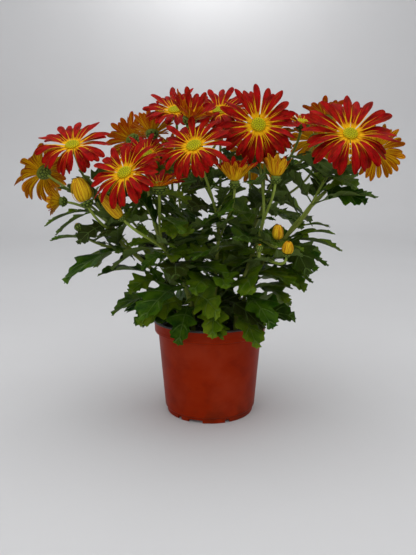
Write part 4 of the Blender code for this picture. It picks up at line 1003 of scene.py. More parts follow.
# %% A helper that builds nets of nodes
class Finish:
    """A material under construction."""

    def __init__(self, name, view_colour, **fixed):
        self.mat = bpy.data.materials.new(name)
        self.mat.use_nodes = True
        self.mat.diffuse_color = (*view_colour, 1.0)
        self.tree = self.mat.node_tree
        self.shader = self.tree.nodes["Principled BSDF"]
        for socket, value in fixed.items():
            self.shader.inputs[socket.replace("_", " ")].default_value = value

    def put(self, node, key, value):
        """Sets an input to a value, or links it to another node's output."""
        if isinstance(value, bpy.types.NodeSocket):
            self.tree.links.new(value, node.inputs[key])
        else:
            node.inputs[key].default_value = value

    def node(self, kind, inputs=None, out=0, **settings):
        """Adds a node, sets it up and returns one of its outputs."""
        made = self.tree.nodes.new(kind)
        for key, value in settings.items():
            setattr(made, key, value)
        for key, value in (inputs or {}).items():
            self.put(made, key, value)
        return made.outputs[out]

    def math(self, operation, a, b=0.0, c=0.0):
        """One sum on numbers."""
        return self.node("ShaderNodeMath", {0: a, 1: b, 2: c}, operation=operation)

    def plus(self, a, b):
        """The sum of two numbers."""
        return self.math("ADD", a, b)

    def times(self, a, b):
        """The product of two numbers."""
        return self.math("MULTIPLY", a, b)

    def scaled(self, a, b, c):
        """a times b, plus c."""
        return self.math("MULTIPLY_ADD", a, b, c)

    def rest(self, a):
        """What is left of 1."""
        return self.math("SUBTRACT", 1.0, a)

    def smooth(self, value, low, high):
        """0 below low, 1 above high, and a smooth step between."""
        return self.node("ShaderNodeMapRange", {"Value": value, "From Min": low, "From Max": high},
                         interpolation_type="SMOOTHSTEP")

    def mix(self, share, one, two):
        """A blend of two colours."""
        return self.node("ShaderNodeMix", {0: share, 6: one, 7: two}, out=2, data_type="RGBA")

    def noise(self, place, scale, detail=3.0, roughness=0.55):
        """Cloudy noise from 0 to 1."""
        return self.node("ShaderNodeTexNoise", {"Vector": place, "Scale": scale, "Detail": detail,
                                                "Roughness": roughness})

    def fact(self, name, out=2):
        """A fact of the mesh: output 2 is its number, output 1 its vector."""
        return self.node("ShaderNodeAttribute", out=out, attribute_name=name)

    def across(self):
        """u and v of the piece's own map."""
        uv = self.node("ShaderNodeUVMap", uv_map="UVMap")
        split = self.tree.nodes.new("ShaderNodeSeparateXYZ")
        self.tree.links.new(uv, split.inputs[0])
        return split.outputs[0], split.outputs[1]

    def place(self, x, y, z=0.0):
        """Three numbers as one vector."""
        return self.node("ShaderNodeCombineXYZ", {0: x, 1: y, 2: z})

    def bump(self, height, depth, strength=1.0):
        """Relief of a depth in metres, sent to the shader."""
        made = self.node("ShaderNodeBump", {"Height": height, "Distance": depth, "Strength": strength})
        self.tree.links.new(made, self.shader.inputs["Normal"])

    def colour(self, value):
        """The shader's colour."""
        self.tree.links.new(value, self.shader.inputs["Base Color"])

    def gloss(self, share, low, high):
        """Roughness between low and high."""
        rough = self.node("ShaderNodeMapRange", {"Value": share, "To Min": low, "To Max": high})
        self.tree.links.new(rough, self.shader.inputs["Roughness"])


def rgb(red, green, blue):
    """A colour for a node, with its alpha."""
    return (red, green, blue, 1.0)

# %% [markdown]
# ### Petals
# A ray is golden at its root and along its margins, and a red stripe widens from near the root
# until it fills the tip. Fine veins run its whole length. Its underside is ochre, streaked with
# red. A painted texture could hold this, but a mask made from u and v stays sharp at any size.

# %% The finish of the petals
def petal_finish(name, reds, golds, root, fill, under_red, rim=0.0, back=(0.38, 0.030, 0.004)):
    """Red over gold. reds and golds: two colours each, between which the veins go; root: share of
    the length where the red starts; fill: how fast it widens; under_red: share of red below; rim:
    share of the width that is streaked along the margins below; back: the colour of those streaks."""
    made = Finish(name, reds[0], Roughness=0.5, Specular_IOR_Level=0.03, Sheen_Weight=0.01,
                  Sheen_Roughness=0.4, Sheen_Tint=rgb(1.0, 0.1, 0.25))
    u, v = made.across()
    tone = made.fact("tone")
    far = made.math("ABSOLUTE", made.scaled(u, 2.0, -1.0))
    shift = made.times(tone, 37.0)
    veins = made.noise(made.place(made.times(u, 11.0), made.times(v, 0.8), shift), 1.0, 3.0)
    fine = made.noise(made.place(made.times(u, 34.0), made.times(v, 1.6), shift), 1.0, 2.0)
    blotch = made.noise(made.place(made.times(u, 2.2), made.times(v, 4.0), shift), 1.0, 3.0)
    edge = made.scaled(v, fill, 0.50)
    edge = made.plus(edge, made.scaled(veins, 0.40, -0.20))
    margin = made.math("SUBTRACT", far, edge)
    red = made.rest(made.smooth(margin, -0.12, 0.15))
    red = made.times(red, made.scaled(made.smooth(fine, 0.55, 0.72), -0.15, 1.0))
    start = made.scaled(fine, 0.10, root - 0.05)
    red = made.times(red, made.smooth(made.math("SUBTRACT", v, start), 0.0, 0.12))
    deep = made.smooth(made.scaled(fine, 0.5, made.times(blotch, 0.6)), 0.40, 0.72)
    red_colour = made.mix(deep, rgb(*reds[0]), rgb(*reds[1]))
    gold_colour = made.mix(made.smooth(veins, 0.35, 0.65), rgb(*golds[0]), rgb(*golds[1]))
    upper = made.mix(red, gold_colour, red_colour)
    first = 0.60 - under_red * 0.17
    streak = made.smooth(made.scaled(v, 0.12, veins), first, first + 0.12)
    below = made.mix(made.times(veins, 0.5), rgb(*golds[0]), rgb(*golds[1]))
    if rim:
        streak = made.math("MAXIMUM", streak, made.smooth(far, 1.0 - rim, 1.0 - rim / 3))
    below = made.mix(made.times(streak, 0.85), below, rgb(*back))
    made.colour(made.mix(made.fact("under"), upper, below))
    made.gloss(fine, 0.34, 0.58)
    made.bump(made.plus(veins, made.times(fine, 0.5)), 0.00035, 0.7)
    return made.mat


RED = ((0.41, 0.003, 0.004), (0.11, 0.0005, 0.001))
GOLD = ((0.90, 0.58, 0.006), (0.74, 0.25, 0.004))
PALE_GOLD = ((0.85, 0.52, 0.01), (0.74, 0.30, 0.01))
petal_red = petal_finish("red_petal_with_gold_margins", RED, GOLD, 0.07, 0.90, 0.75)
petal_rust = petal_finish("red_petal_with_rusty_back", RED, GOLD, 0.07, 0.90, 1.0,
                          back=(0.52, 0.014, 0.003))
petal_half = petal_finish("half_open_petal", RED, PALE_GOLD, 0.18, 0.70, 0.45)
petal_bud = petal_finish("bud_petal", ((0.42, 0.085, 0.008), (0.25, 0.025, 0.004)),
                         ((0.86, 0.60, 0.02), (0.70, 0.38, 0.012)), 0.30, 0.26, 0.6, rim=0.28,
                         back=(0.42, 0.12, 0.008))
print("petal finishes:", petal_red.name, petal_half.name, petal_bud.name)

# %% [markdown]
# ### Florets of the disc
# The disc is packed with tiny tubular florets: closed and olive green in the middle, open and
# yellow towards its rim. The hollows between the florets are darker by painted shade.

# %% The finish of the discs
made = Finish("yellow_green_florets", (0.4, 0.38, 0.02), Roughness=0.6, Specular_IOR_Level=0.06)
v = made.across()[1]
grain = made.fact("grain", out=1)
speck = made.noise(grain, 1.6, 2.0)
height = made.fact("tone")
rim = made.mix(speck, rgb(0.74, 0.62, 0.006), rgb(0.80, 0.54, 0.006))
core = made.mix(speck, rgb(0.34, 0.38, 0.005), rgb(0.52, 0.48, 0.006))
ripe = made.smooth(v, 0.25, 0.70)
blend = made.mix(ripe, rim, core)
# Painted shade: where the relief of the florets is low, in the hollows between them, the colour turns to a
# darker olive.
made.colour(made.mix(made.smooth(height, 0.05, 0.6), rgb(0.24, 0.20, 0.004), blend))
made.bump(speck, 0.0003, 0.5)
florets = made.mat
print("the finish of the discs is", florets.name)

# %% [markdown]
# ### Leaf and stem
# A leaf is dark and slightly glossy above and paler and duller below. Its midrib and side veins
# are pale. The rows of a blade's grid run along its side veins, so thin bands of v draw them.

# %% The finishes of leaves and stems
made = Finish("chrysanthemum_leaf", (0.03, 0.08, 0.012), Roughness=0.42, Specular_IOR_Level=0.09,
              Subsurface_Weight=0.06, Subsurface_Scale=0.001, Subsurface_Radius=(0.4, 1.0, 0.2))
u, v = made.across()
tone = made.fact("tone")
under = made.fact("under")
grain = made.fact("grain", out=1)
far = made.math("ABSOLUTE", made.scaled(u, 2.0, -1.0))
midrib = made.rest(made.smooth(far, 0.02, 0.09))
band = made.math("PINGPONG", made.scaled(v, 10.0, 1.0), 1.0)
side_vein = made.rest(made.smooth(band, 0.03, 0.16))
side_vein = made.times(side_vein, made.rest(made.smooth(far, 0.55, 1.0)))
vein = made.math("MAXIMUM", midrib, side_vein)
cells = made.node("ShaderNodeTexVoronoi", {"Vector": grain, "Scale": 0.9}, feature="DISTANCE_TO_EDGE")
cloud = made.noise(grain, 0.09, 4.0)
young = made.smooth(tone, 0.30, 1.0)
dark = made.mix(made.smooth(cloud, 0.35, 0.65), rgb(0.012, 0.044, 0.001), rgb(0.048, 0.108, 0.002))
light = made.mix(made.smooth(cloud, 0.35, 0.65), rgb(0.070, 0.135, 0.003), rgb(0.150, 0.215, 0.007))
dark = made.mix(made.smooth(tone, 0.14, 0.06), dark, rgb(0.020, 0.028, 0.002))
top = made.mix(young, dark, light)
top = made.mix(made.times(vein, 0.55), top, rgb(0.12, 0.19, 0.045))
below = made.mix(cloud, rgb(0.070, 0.115, 0.020), rgb(0.13, 0.18, 0.040))
below = made.mix(made.times(vein, 0.6), below, rgb(0.19, 0.26, 0.10))
made.colour(made.mix(under, top, below))
made.gloss(made.plus(under, made.times(cloud, 0.4)), 0.36, 0.62)
relief = made.plus(made.times(made.smooth(cells, 0.0, 0.35), 0.35), made.times(vein, -1.0))
made.bump(made.plus(relief, made.times(cloud, 1.2)), 0.0006, 0.75)
leaf_green = made.mat

made = Finish("green_stem", (0.10, 0.17, 0.05), Roughness=0.5, Specular_IOR_Level=0.25,
              Sheen_Weight=0.06, Sheen_Roughness=0.5, Sheen_Tint=rgb(0.8, 1.0, 0.5))
grain = made.fact("grain", out=1)
tone = made.fact("tone")
drawn = made.node("ShaderNodeMapping", {"Vector": grain, "Scale": (1.0, 1.0, 0.06)})
streaks = made.noise(drawn, 2.2, 3.0)
cloud = made.noise(grain, 0.05, 3.0)
fresh = made.mix(streaks, rgb(0.17, 0.25, 0.025), rgb(0.32, 0.40, 0.06))
old = made.mix(streaks, rgb(0.15, 0.20, 0.020), rgb(0.25, 0.28, 0.05))
made.colour(made.mix(made.smooth(made.plus(cloud, tone), 0.7, 1.2), old, fresh))
made.gloss(streaks, 0.42, 0.62)
made.bump(streaks, 0.0004, 0.6)
stem_green = made.mat

made = Finish("green_cup", (0.10, 0.16, 0.05), Roughness=0.55, Specular_IOR_Level=0.2)
drawn = made.node("ShaderNodeMapping", {"Vector": made.fact("grain", out=1), "Scale": (1.0, 1.0, 0.3)})
streaks = made.noise(drawn, 1.8, 3.0)
bract = made.mix(streaks, rgb(0.10, 0.17, 0.015), rgb(0.26, 0.33, 0.05))
# Painted shade: where the relief of the bracts is low, between them and under the free tips of the tier
# below, the colour turns near black.
made.colour(made.mix(made.smooth(made.fact("tone"), 0.05, 0.65), rgb(0.022, 0.045, 0.004), bract))
made.bump(streaks, 0.0004, 0.6)
cup_green = made.mat
print("leaf, stem and cup are green; the tone of a leaf says how young it is")

# %% [markdown]
# ### Pot and soil
# The pot is thin moulded plastic, terracotta outside and black inside. Moulding leaves faint level
# swirls, handling dulls it in patches, and its colour is darker in patches near its foot. The soil
# is black peat with paler fibres.

# %% The finishes of pot and soil
made = Finish("terracotta_plastic", (0.23, 0.035, 0.018), Roughness=0.42, Specular_IOR_Level=0.05)
spot = made.node("ShaderNodeTexCoord", out=3)
level = made.node("ShaderNodeMapping", {"Vector": spot, "Scale": (1.0, 1.0, 9.0)})
swirl = made.noise(level, 14.0, 4.0)
patch = made.noise(spot, 26.0, 4.0)
pores = made.noise(spot, 900.0, 2.0)
body = made.mix(swirl, rgb(0.255, 0.013, 0.0005), rgb(0.32, 0.023, 0.001))
stain = made.smooth(made.noise(spot, 42.0, 3.0), 0.50, 0.62)
body = made.mix(made.times(stain, 0.35), body, rgb(0.17, 0.008, 0.0005))
body = made.mix(made.times(made.smooth(patch, 0.45, 0.7), 0.35), body, rgb(0.38, 0.048, 0.018))
split = made.node("ShaderNodeSeparateXYZ", {0: spot}, out=2)
foot = made.rest(made.smooth(split, 0.0, 0.035))
# Darker in patches within 35 mm of the foot.
darker_near_foot = made.times(foot, made.smooth(made.noise(spot, 70.0, 4.0), 0.42, 0.62))
made.colour(made.mix(made.times(darker_near_foot, 0.45), body, rgb(0.11, 0.018, 0.006)))
made.gloss(made.scaled(patch, 0.7, made.times(pores, 0.3)), 0.28, 0.52)
made.bump(made.plus(made.times(pores, 0.25), swirl), 0.0003, 0.5)
terracotta = made.mat

made = Finish("black_plastic", (0.02, 0.02, 0.02), Roughness=0.42)
spot = made.node("ShaderNodeTexCoord", out=3)
dust = made.noise(spot, 90.0, 4.0)
made.colour(made.mix(made.smooth(dust, 0.5, 0.75), rgb(0.012, 0.011, 0.010), rgb(0.045, 0.036, 0.028)))
made.gloss(dust, 0.34, 0.6)
made.bump(dust, 0.0002, 0.4)
black_plastic = made.mat

made = Finish("black_peat", (0.02, 0.014, 0.01), Roughness=0.95, Specular_IOR_Level=0.2)
spot = made.node("ShaderNodeTexCoord", out=3)
crumb = made.noise(spot, 260.0, 5.0, 0.7)
drawn = made.node("ShaderNodeMapping", {"Vector": spot, "Scale": (1.0, 0.15, 1.0),
                                        "Rotation": (0.0, 0.0, 0.7)})
fibre = made.noise(drawn, 500.0, 2.0)
earth = made.mix(crumb, rgb(0.006, 0.005, 0.004), rgb(0.035, 0.024, 0.016))
made.colour(made.mix(made.smooth(fibre, 0.68, 0.74), earth, rgb(0.12, 0.085, 0.05)))
made.bump(crumb, 0.0012, 0.9)
peat = made.mat
print("pot and soil finished")

# %% [markdown]
# ## Ray petals
# A real ray is narrow at its root, soon reaches its width, keeps it, and ends in a round tip. It is
# channelled along its length, and no two are bent or twisted alike. The solid holds its middle line
# and its width. The fine petal adds the round tip, the channel, a twist and a waved margin.

# %% Petals on the rays' own lines
PETAL_ROWS = np.array((0.0, 0.06, 0.16, 0.29, 0.44, 0.60, 0.75, 0.86, 0.94, 0.985))
PETAL_COLUMNS = np.array((-1.0, -0.55, 0.0, 0.55, 1.0))
PETAL_THICKNESS = 0.5
FULL_BLOOM = 32                 # rays of a full bloom: what the solid leaves out goes between them
RUSTY = ("02", "03", "04", "09", "14", "17")   # blooms whose undersides are more red than gold
INWARD = 1.7                    # how far a petal reaches in over the receptacle, under the disc


def eased(value):
    """A smooth step of a number between 0 and 1."""
    value = np.clip(value, 0.0, 1.0)
    return value * value * (3 - 2 * value)


def ray_facts(rays, key):
    """One fact of all rays as an array."""
    return np.array([ray[key] for ray in rays], float)


def petals(rays, rng):
    """Petals along the lines of the rays. The slope turns evenly from start to end, so the line is
    the integral of (cos slope, sin slope): out = (sin slope - sin start) / bend, and rise alike."""
    n = len(rays)
    s = np.append(PETAL_ROWS, 1.0)
    start, end = np.radians(ray_facts(rays, "start"))[:, None], np.radians(ray_facts(rays, "end"))[:, None]
    bend = np.where(np.abs(end - start) > 1e-3, end - start, 1e-3)
    slope = start + bend * s
    length, root = ray_facts(rays, "length")[:, None], ray_facts(rays, "root")[:, None]
    out = root + length * (np.sin(slope) - np.sin(start)) / bend
    rise = -ROOT_DEPTH + length * (np.cos(start) - np.cos(slope)) / bend
    out, rise = out - INWARD * (1 - s) ** 8, rise + 1.1 * (1 - s) ** 8
    axis, spoke = ray_facts(rays, "axis")[:, None], ray_facts(rays, "spoke")[:, None]
    level = np.cross(axis, spoke)
    sway = ray_facts(rays, "sway")[:, None] * length * s ** 2
    line = ray_facts(rays, "at")[:, None] + out[..., None] * spoke + rise[..., None] * axis
    line = line + sway[..., None] * level
    face = np.cos(slope)[..., None] * axis - np.sin(slope)[..., None] * spoke
    twist = np.radians(rng.normal(0.0, 22.0, n))[:, None] * s ** 1.5
    across = np.cos(twist)[..., None] * level + np.sin(twist)[..., None] * face
    face = np.cos(twist)[..., None] * face - np.sin(twist)[..., None] * level
    width = ray_facts(rays, "width")[:, None]
    neck_out = root + length * (np.sin(start + 0.4 * bend) - np.sin(start)) / bend
    room = NECK_ROOM * 2 * math.pi * neck_out / ray_facts(rays, "count")[:, None]
    neck = np.minimum(RAY_ROOT_WIDTH + (width - RAY_ROOT_WIDTH) * RAY_SPREAD[0], 1.8 * room)
    half = RAY_ROOT_WIDTH + (neck - RAY_ROOT_WIDTH) * eased(s / RAY_STATIONS[0])
    half = half + (width - neck) * eased((s - RAY_STATIONS[0]) / (0.7 - RAY_STATIONS[0]))
    blunt = rng.uniform(1.5, 2.4, n)[:, None]
    half = half / 2 * np.sqrt(1 - np.clip((s - 0.70) / 0.30, 0.0, 1.0) ** blunt)
    u = PETAL_COLUMNS
    deep, flare, phase = rng.uniform(0.10, 0.50, n), rng.uniform(-0.30, 0.25, n), rng.uniform(0, 6.3, n)
    channel = deep[:, None] + (flare - deep)[:, None] * eased((s - 0.35) / 0.65)
    fold = half[..., None] * channel[..., None] * u ** 2
    wave = np.sin(2 * math.pi * 1.7 * s + phase[:, None])[..., None] * 0.10 * half[..., None]
    wave = wave * u * np.abs(u)
    thick = np.full((n, len(s)), PETAL_THICKNESS)
    return blades(line[:, :-1], across[:, :-1], face[:, :-1], half[:, :-1], (fold + wave)[:, :-1],
                  thick[:, :-1], line[:, -1], u, rng.uniform(0.0, 1.0, n), s)


def rays_between(bloom, wanted):
    """Rays of a lower layer: as many as the bloom wants, spread over the gaps between its rays, each
    with the mean of its two neighbours' slopes, less some degrees."""
    rays = bloom["fitted"]
    n = len(rays)
    gaps = np.unique((np.arange(wanted) * n / max(wanted, 1)).astype(int))
    level, lift = cross_axes(bloom["axis"])
    made = []
    for k in gaps:
        one, two = rays[k], rays[(k + 1) % n]
        if one is None or two is None:
            continue
        turn = 2 * math.pi * (k + 0.5) / n
        start, end = ((one[fact] + two[fact]) / 2 for fact in ("start", "end"))
        made.append(dict(one, spoke=math.cos(turn) * level + math.sin(turn) * lift,
                         start=start - 10, end=end - 6,
                         length=(0.88 + 0.03 * (k % 3)) * min(one["length"], two["length"]),
                         width=0.96 * one["width"], sway=0.0))
    return made


def receptacle(bloom):
    """The green drum that the rays stand round."""
    heights = np.array((-DRUM_DEPTH, -DRUM_DEPTH, 0.0, 0.2))[:, None] * np.ones(24)
    radii = bloom["drum_radius"] * np.array((0.5, DRUM_TAPER, 0.98, 0.8))[:, None] * np.ones(24)
    return turned_skin(bloom["at"], bloom["axis"], heights, radii, finish=1)


for number, (name, bloom) in enumerate(BLOOMS.items()):
    rng = np.random.default_rng((SEED, number))
    rays = [ray for ray in bloom["fitted"] if ray is not None]
    rays += rays_between(bloom, max(0, FULL_BLOOM - len(rays)))
    finish = petal_rust if name in RUSTY else petal_red
    piece = mesh_piece("petals_" + name, [petals(rays, rng), receptacle(bloom)], [finish, cup_green])
    stand_for(piece, "petals", "bloom_%s_rays" % name)
    bloom["petal_count"] = len(rays)
print("petals:", sum(bloom["petal_count"] for bloom in BLOOMS.values()))

# %% [markdown]
# ## Discs
# The disc is a dome of about a hundred tubular florets, set by the golden angle, as in a
# sunflower. Modelling each floret would cost thousands of small bodies. Instead each point
# of a turned dome is lifted by its nearness to the closest floret's centre.

# %% Domes of florets
FLORETS = 96
FLORET_TURN = 2.39996           # the golden angle, in radians
DISC_SHARE = 0.94               # the petals' roots hide the margin of the disc
DISC_KEYS = ((0.05, 0.90), (0.25, 0.99), (0.55, 0.98), (0.80, 0.80), (0.93, 0.52), (0.90, 0.24),
             (0.82, 0.02))


def through(keys, count):
    """A smooth line through all keys (a Catmull-Rom curve), at count even steps."""
    keys = np.asarray(keys, float)
    padded = np.vstack((2 * keys[0] - keys[1], keys, 2 * keys[-1] - keys[-2]))
    place = np.linspace(0.0, len(keys) - 1.0, count)
    k = np.minimum(place.astype(int), len(keys) - 2)
    t = (place - k)[:, None]
    a, b, c, d = (padded[k + i] for i in range(4))
    square, cube = 2 * a - 5 * b + 4 * c - d, 3 * b - a - 3 * c + d
    return 0.5 * (2 * b + (c - a) * t + square * t ** 2 + cube * t ** 3)


def disc_dome(bloom):
    """A turned dome whose points rise by 1 - (distance to the nearest floret / its reach) squared.
    Floret i stands at the golden angle times i, at a distance that goes with the root of i."""
    profile = through(DISC_KEYS, 24)
    heights, radii = DISC_HEIGHT * profile[:, :1], DISC_SHARE * bloom["disc_radius"] * profile[:, 1:]
    angle = np.arange(72) * 2 * math.pi / 72
    path = np.linspace(1.06, 0.0, len(profile))[:, None]
    spot = np.stack((path * np.cos(angle), path * np.sin(angle)), -1)
    i = np.arange(FLORETS) + 0.5
    centre = np.sqrt(i / FLORETS)[:, None] * np.stack((np.cos(i * FLORET_TURN), np.sin(i * FLORET_TURN)), -1)
    near = np.sqrt(((spot[:, :, None] - centre) ** 2).sum(-1).min(-1))
    relief = np.clip(1 - (near / 0.088) ** 2, 0.0, 1.0)
    size = 0.35 + 0.45 * path
    heights = heights + relief * size * (0.4 + 0.6 * (1 - path))
    radii = np.maximum(radii + relief * size * 0.5 * path, 0.02)
    # The relief is also the tone, from which the disc's finish paints shade in the hollows between the
    # florets.
    return turned_skin(bloom["at"], bloom["axis"], heights, radii, tone=relief)


for name, bloom in BLOOMS.items():
    stand_for(mesh_piece("florets_" + name, [disc_dome(bloom)], [florets], sharp=70.0), "florets",
              "bloom_%s_disc" % name)
print("discs:", len(BLOOMS), "with", FLORETS, "florets each")

# %% [markdown]
# ## Half-open blooms and buds
# In a bud the rays lie wrapped round each other, with their ochre undersides out. An egg with a
# painted pattern would look like a bead. Here each ray is again a blade, which runs up the side
# of the egg, a little turned, and closes over its neighbours.

# %% Petals wrapped into eggs
BUD_SWIRL = 25.0                # turn of a petal from its root to its tip
BUD_KEYS = ((0.0, 0.50), (0.12, 0.86), (0.32, 1.0), (0.55, 0.97), (0.78, 0.80), (0.92, 0.55), (1.0, 0.20))


def wrapped_petals(at, axis, length, radius, count, rng, layers=2, flare=0.0):
    """Blades up the side of an egg. Row t of a petal stands at (height, radius)(t) of the egg's
    profile, turned by the swirl times t, and bends round the egg: its margins sink by (distance
    from its middle) squared / (2 radius)."""
    rows = 9
    profile = through(BUD_KEYS, rows + 1)
    layer = np.arange(count) % layers
    t = np.linspace(0.0, 1.0, rows + 1)
    reach = 1 - 0.09 * layer[:, None] + rng.uniform(-0.03, 0.03, count)[:, None]
    tall = 1 - 0.05 * rng.uniform(0, 1, count)[:, None] * (1 - layer[:, None])
    open_tip = flare * rng.uniform(0.2, 1.0, count)[:, None] * np.clip((t - 0.7) / 0.3, 0, 1) ** 2
    height = length * profile[:, 0] * tall
    out = radius * (profile[:, 1] * reach + open_tip * (layer[:, None] == 0))
    turn = 2 * math.pi * (np.arange(count) + 0.25 * layer)[:, None] / count
    turn = turn + np.radians(BUD_SWIRL * (1 + 0.3 * rng.normal(0, 1, count)))[:, None] * t
    level, lift = cross_axes(axis)
    spoke = np.cos(turn)[..., None] * level + np.sin(turn)[..., None] * lift
    line = at + height[..., None] * axis + out[..., None] * spoke
    across = np.cross(axis, spoke)
    tangent = np.gradient(line, axis=1)
    face = np.cross(tangent / np.linalg.norm(tangent, axis=2, keepdims=True), across)
    face = face / np.linalg.norm(face, axis=2, keepdims=True)
    half = radius * math.pi / count * 1.75 * (0.45 + 0.55 * eased(t / 0.4))
    half = half * np.sqrt(1 - np.clip((t - 0.5) / 0.52, 0, 1) ** 2.2) * np.ones((count, 1))
    u = PETAL_COLUMNS
    sink = (half[..., None] * u) ** 2 / (2 * np.maximum(out, 0.5 * radius)[..., None])
    thick = np.full((count, rows + 1), PETAL_THICKNESS)
    return blades(line[:, :-1], across[:, :-1], face[:, :-1], half[:, :-1], sink[:, :-1],
                  thick[:, :-1], line[:, -1], u, rng.uniform(0.0, 1.0, count), t)


def egg(at, axis, length, radius, shrink, finish=0):
    """A plain egg inside the wrapped petals, so that no light falls through between them."""
    profile = through(BUD_KEYS, 14)
    return turned_skin(at, axis, length * (0.02 + 0.94 * profile[:, :1]) * np.ones(16),
                       radius * shrink * profile[:, 1:] * np.ones(16), finish=finish)


for number, (name, bloom) in enumerate(HALF_OPEN.items()):
    rng = np.random.default_rng((SEED, 100 + number))
    rays = [ray for ray in bloom["fitted"] if ray is not None]
    rays += rays_between(bloom, len(rays))
    heart = wrapped_petals(bloom["at"], bloom["axis"], HEART_HEIGHT * 1.05, HEART_RADIUS * 1.1, 12, rng,
                           flare=0.5)
    core = egg(bloom["at"], bloom["axis"], HEART_HEIGHT, HEART_RADIUS, 0.75)
    piece = mesh_piece("half_open_petals_" + name, [petals(rays, rng), heart, core, receptacle(bloom)],
                       [petal_half, cup_green])
    stand_for(piece, "half_open_petals", "half_open_" + name)
for number, (name, bud) in enumerate(BUDS.items()):
    rng = np.random.default_rng((SEED, 200 + number))
    count = 24 if bud["radius"] > 7 else 15
    skin = wrapped_petals(bud["at"], bud["axis"], bud["length"] * 1.02, bud["radius"], count, rng, layers=3,
                          flare=0.45)
    core = egg(bud["at"], bud["axis"], bud["length"], bud["radius"], 0.84)
    stand_for(mesh_piece("bud_petals_" + name, [skin, core], [petal_bud]), "buds", "bud_" + name)
print("half-open blooms:", len(HALF_OPEN), "buds:", len(BUDS))

# %% [markdown]
# ## Leaves
# A chrysanthemum leaf has a stalk, two or three pairs of round lobes with a few blunt teeth, and
# side veins that run to the lobes at a slant. A cut-out plane would lie flat. Each row of
# this grid is one slanting side vein: it starts on the rib and ends further forward on the margin.

# %% Lobed leaves
LEAF_ROWS = 34
TOOTH_ROWS = 4                  # rows of the grid from one tooth of the margin to the next
LEAF_COLUMNS = np.array((-1.0, -0.64, -0.30, 0.0, 0.30, 0.64, 1.0))
LOBED_KEYS = np.array((         # place on the rib, place of the margin, half width, as shares of the length
    (0.00, 0.00, 0.012), (0.14, 0.14, 0.020), (0.20, 0.20, 0.13), (0.26, 0.31, 0.265), (0.33, 0.42, 0.15),
    (0.42, 0.62, 0.345), (0.54, 0.73, 0.20), (0.64, 0.85, 0.235), (0.77, 0.91, 0.13), (0.88, 0.97, 0.075),
    (1.00, 1.00, 0.0)))
BRACT_KEYS = np.array((
    (0.00, 0.00, 0.018), (0.10, 0.10, 0.030), (0.18, 0.22, 0.13), (0.26, 0.36, 0.20), (0.36, 0.48, 0.13),
    (0.48, 0.70, 0.215), (0.62, 0.82, 0.11), (0.72, 0.88, 0.10), (0.84, 0.94, 0.06), (0.92, 0.98, 0.03),
    (1.00, 1.00, 0.0)))


def leaves_of(leaves, keys, rng):
    """Leaves between their roots and tips. The margin is a smooth line through the keys, with two
    small teeth to each lobe; margins stand above the rib by a share of the width, and wave."""
    n = len(leaves)
    grid = through(keys, LEAF_ROWS + 1)
    t = np.linspace(0.0, 1.0, LEAF_ROWS + 1)
    tooth = 1 - np.abs(np.arange(LEAF_ROWS + 1) % TOOTH_ROWS - TOOTH_ROWS / 2) / (TOOTH_ROWS / 2)
    tooth = tooth * eased((t - 0.15) / 0.1) * eased((1 - t) / 0.10)
    rib, edge = grid[:, 0], grid[:, 1] + 0.022 * tooth
    wide = np.maximum(grid[:, 2], 0.0) + 0.062 * (tooth - 0.5) * (grid[:, 2] > 0.03)
    root, tip = ray_facts(leaves, "root"), ray_facts(leaves, "tip")
    span = tip - root
    length = np.linalg.norm(span, axis=1)[:, None]
    along = span / length
    level = np.cross(UP, along)
    level = level / np.linalg.norm(level, axis=1, keepdims=True)
    lift = np.cross(along, level)
    roll = np.radians(ray_facts(leaves, "roll"))[:, None]
    side = np.cos(roll) * level + np.sin(roll) * lift
    face = np.cross(along, side)
    arch = ray_facts(leaves, "arch")[:, None]
    curl = rng.uniform(0.02, 0.09, n)[:, None]

    def height(s):
        """The arch of a leaf, less the droop of its tip."""
        return arch * length * 4 * s * (1 - s) - curl * length * np.clip(s - 0.6, 0, 1) ** 2 * 2

    line = root[:, None] + span[:, None] * rib[:, None] + height(rib)[..., None] * UP
    u = LEAF_COLUMNS
    reach = np.abs(u) ** 1.15
    place = rib[:, None] + (edge - rib)[:, None] * reach
    drop = height(place.reshape(1, -1)).reshape(n, len(t), len(u)) - height(rib)[..., None]
    slim = np.array([leaf.get("slim", 1.0) for leaf in leaves]) * rng.uniform(0.74, 0.98, n)
    half = wide * length * slim[:, None]
    phase = rng.uniform(0, 6.3, (n, 1, 1))
    wave = np.sin(2 * math.pi * 2.6 * t[:, None] + phase + 1.5 * np.sign(u)) * reach ** 2
    wave = 0.028 * length[..., None] * wave
    quilt = np.cos(2 * math.pi * 5.0 * t[:, None]) * np.sin(math.pi * np.abs(u))
    quilt = -0.012 * length[..., None] * quilt
    fold = half[..., None] * LEAF_FOLD * rng.uniform(0.6, 1.6, (n, 1, 1)) * np.abs(u)
    blade = (grid[:, 2] > 0.05)[:, None]
    slide = (edge - rib)[:, None] * reach * length[..., None]
    thick = np.interp(t, (0.0, 0.12, 0.22, 1.0), (1.7, 1.5, 0.55, 0.4)) * np.ones((n, 1))
    ridge = np.interp(t, (0.0, 0.12, 0.3, 1.0), (0.0, 0.0, 0.55, 0.1))
    across, normal = side[:, None] * np.ones((1, len(t), 1)), face[:, None] * np.ones((1, len(t), 1))
    shift = slide[..., None] * along[:, None, None] + drop[..., None] * UP
    rise = (wave + quilt) * blade + fold
    return blades(line[:, :-1], across[:, :-1], normal[:, :-1], half[:, :-1], rise[:, :-1], thick[:, :-1],
                  line[:, -1], u, rng.uniform(0.0, 1.0, n), t, shift=shift[:, :-1], rib=ridge[:-1])

# %% [markdown]
# ## Leafy stems
# A stem is green, faintly ribbed and a little swollen where a leaf joins it. Its stalks leave it
# below the blooms and end in green cups of small overlapping bracts. All that grows on one stem
# is one piece, as it is one solid in the frame.

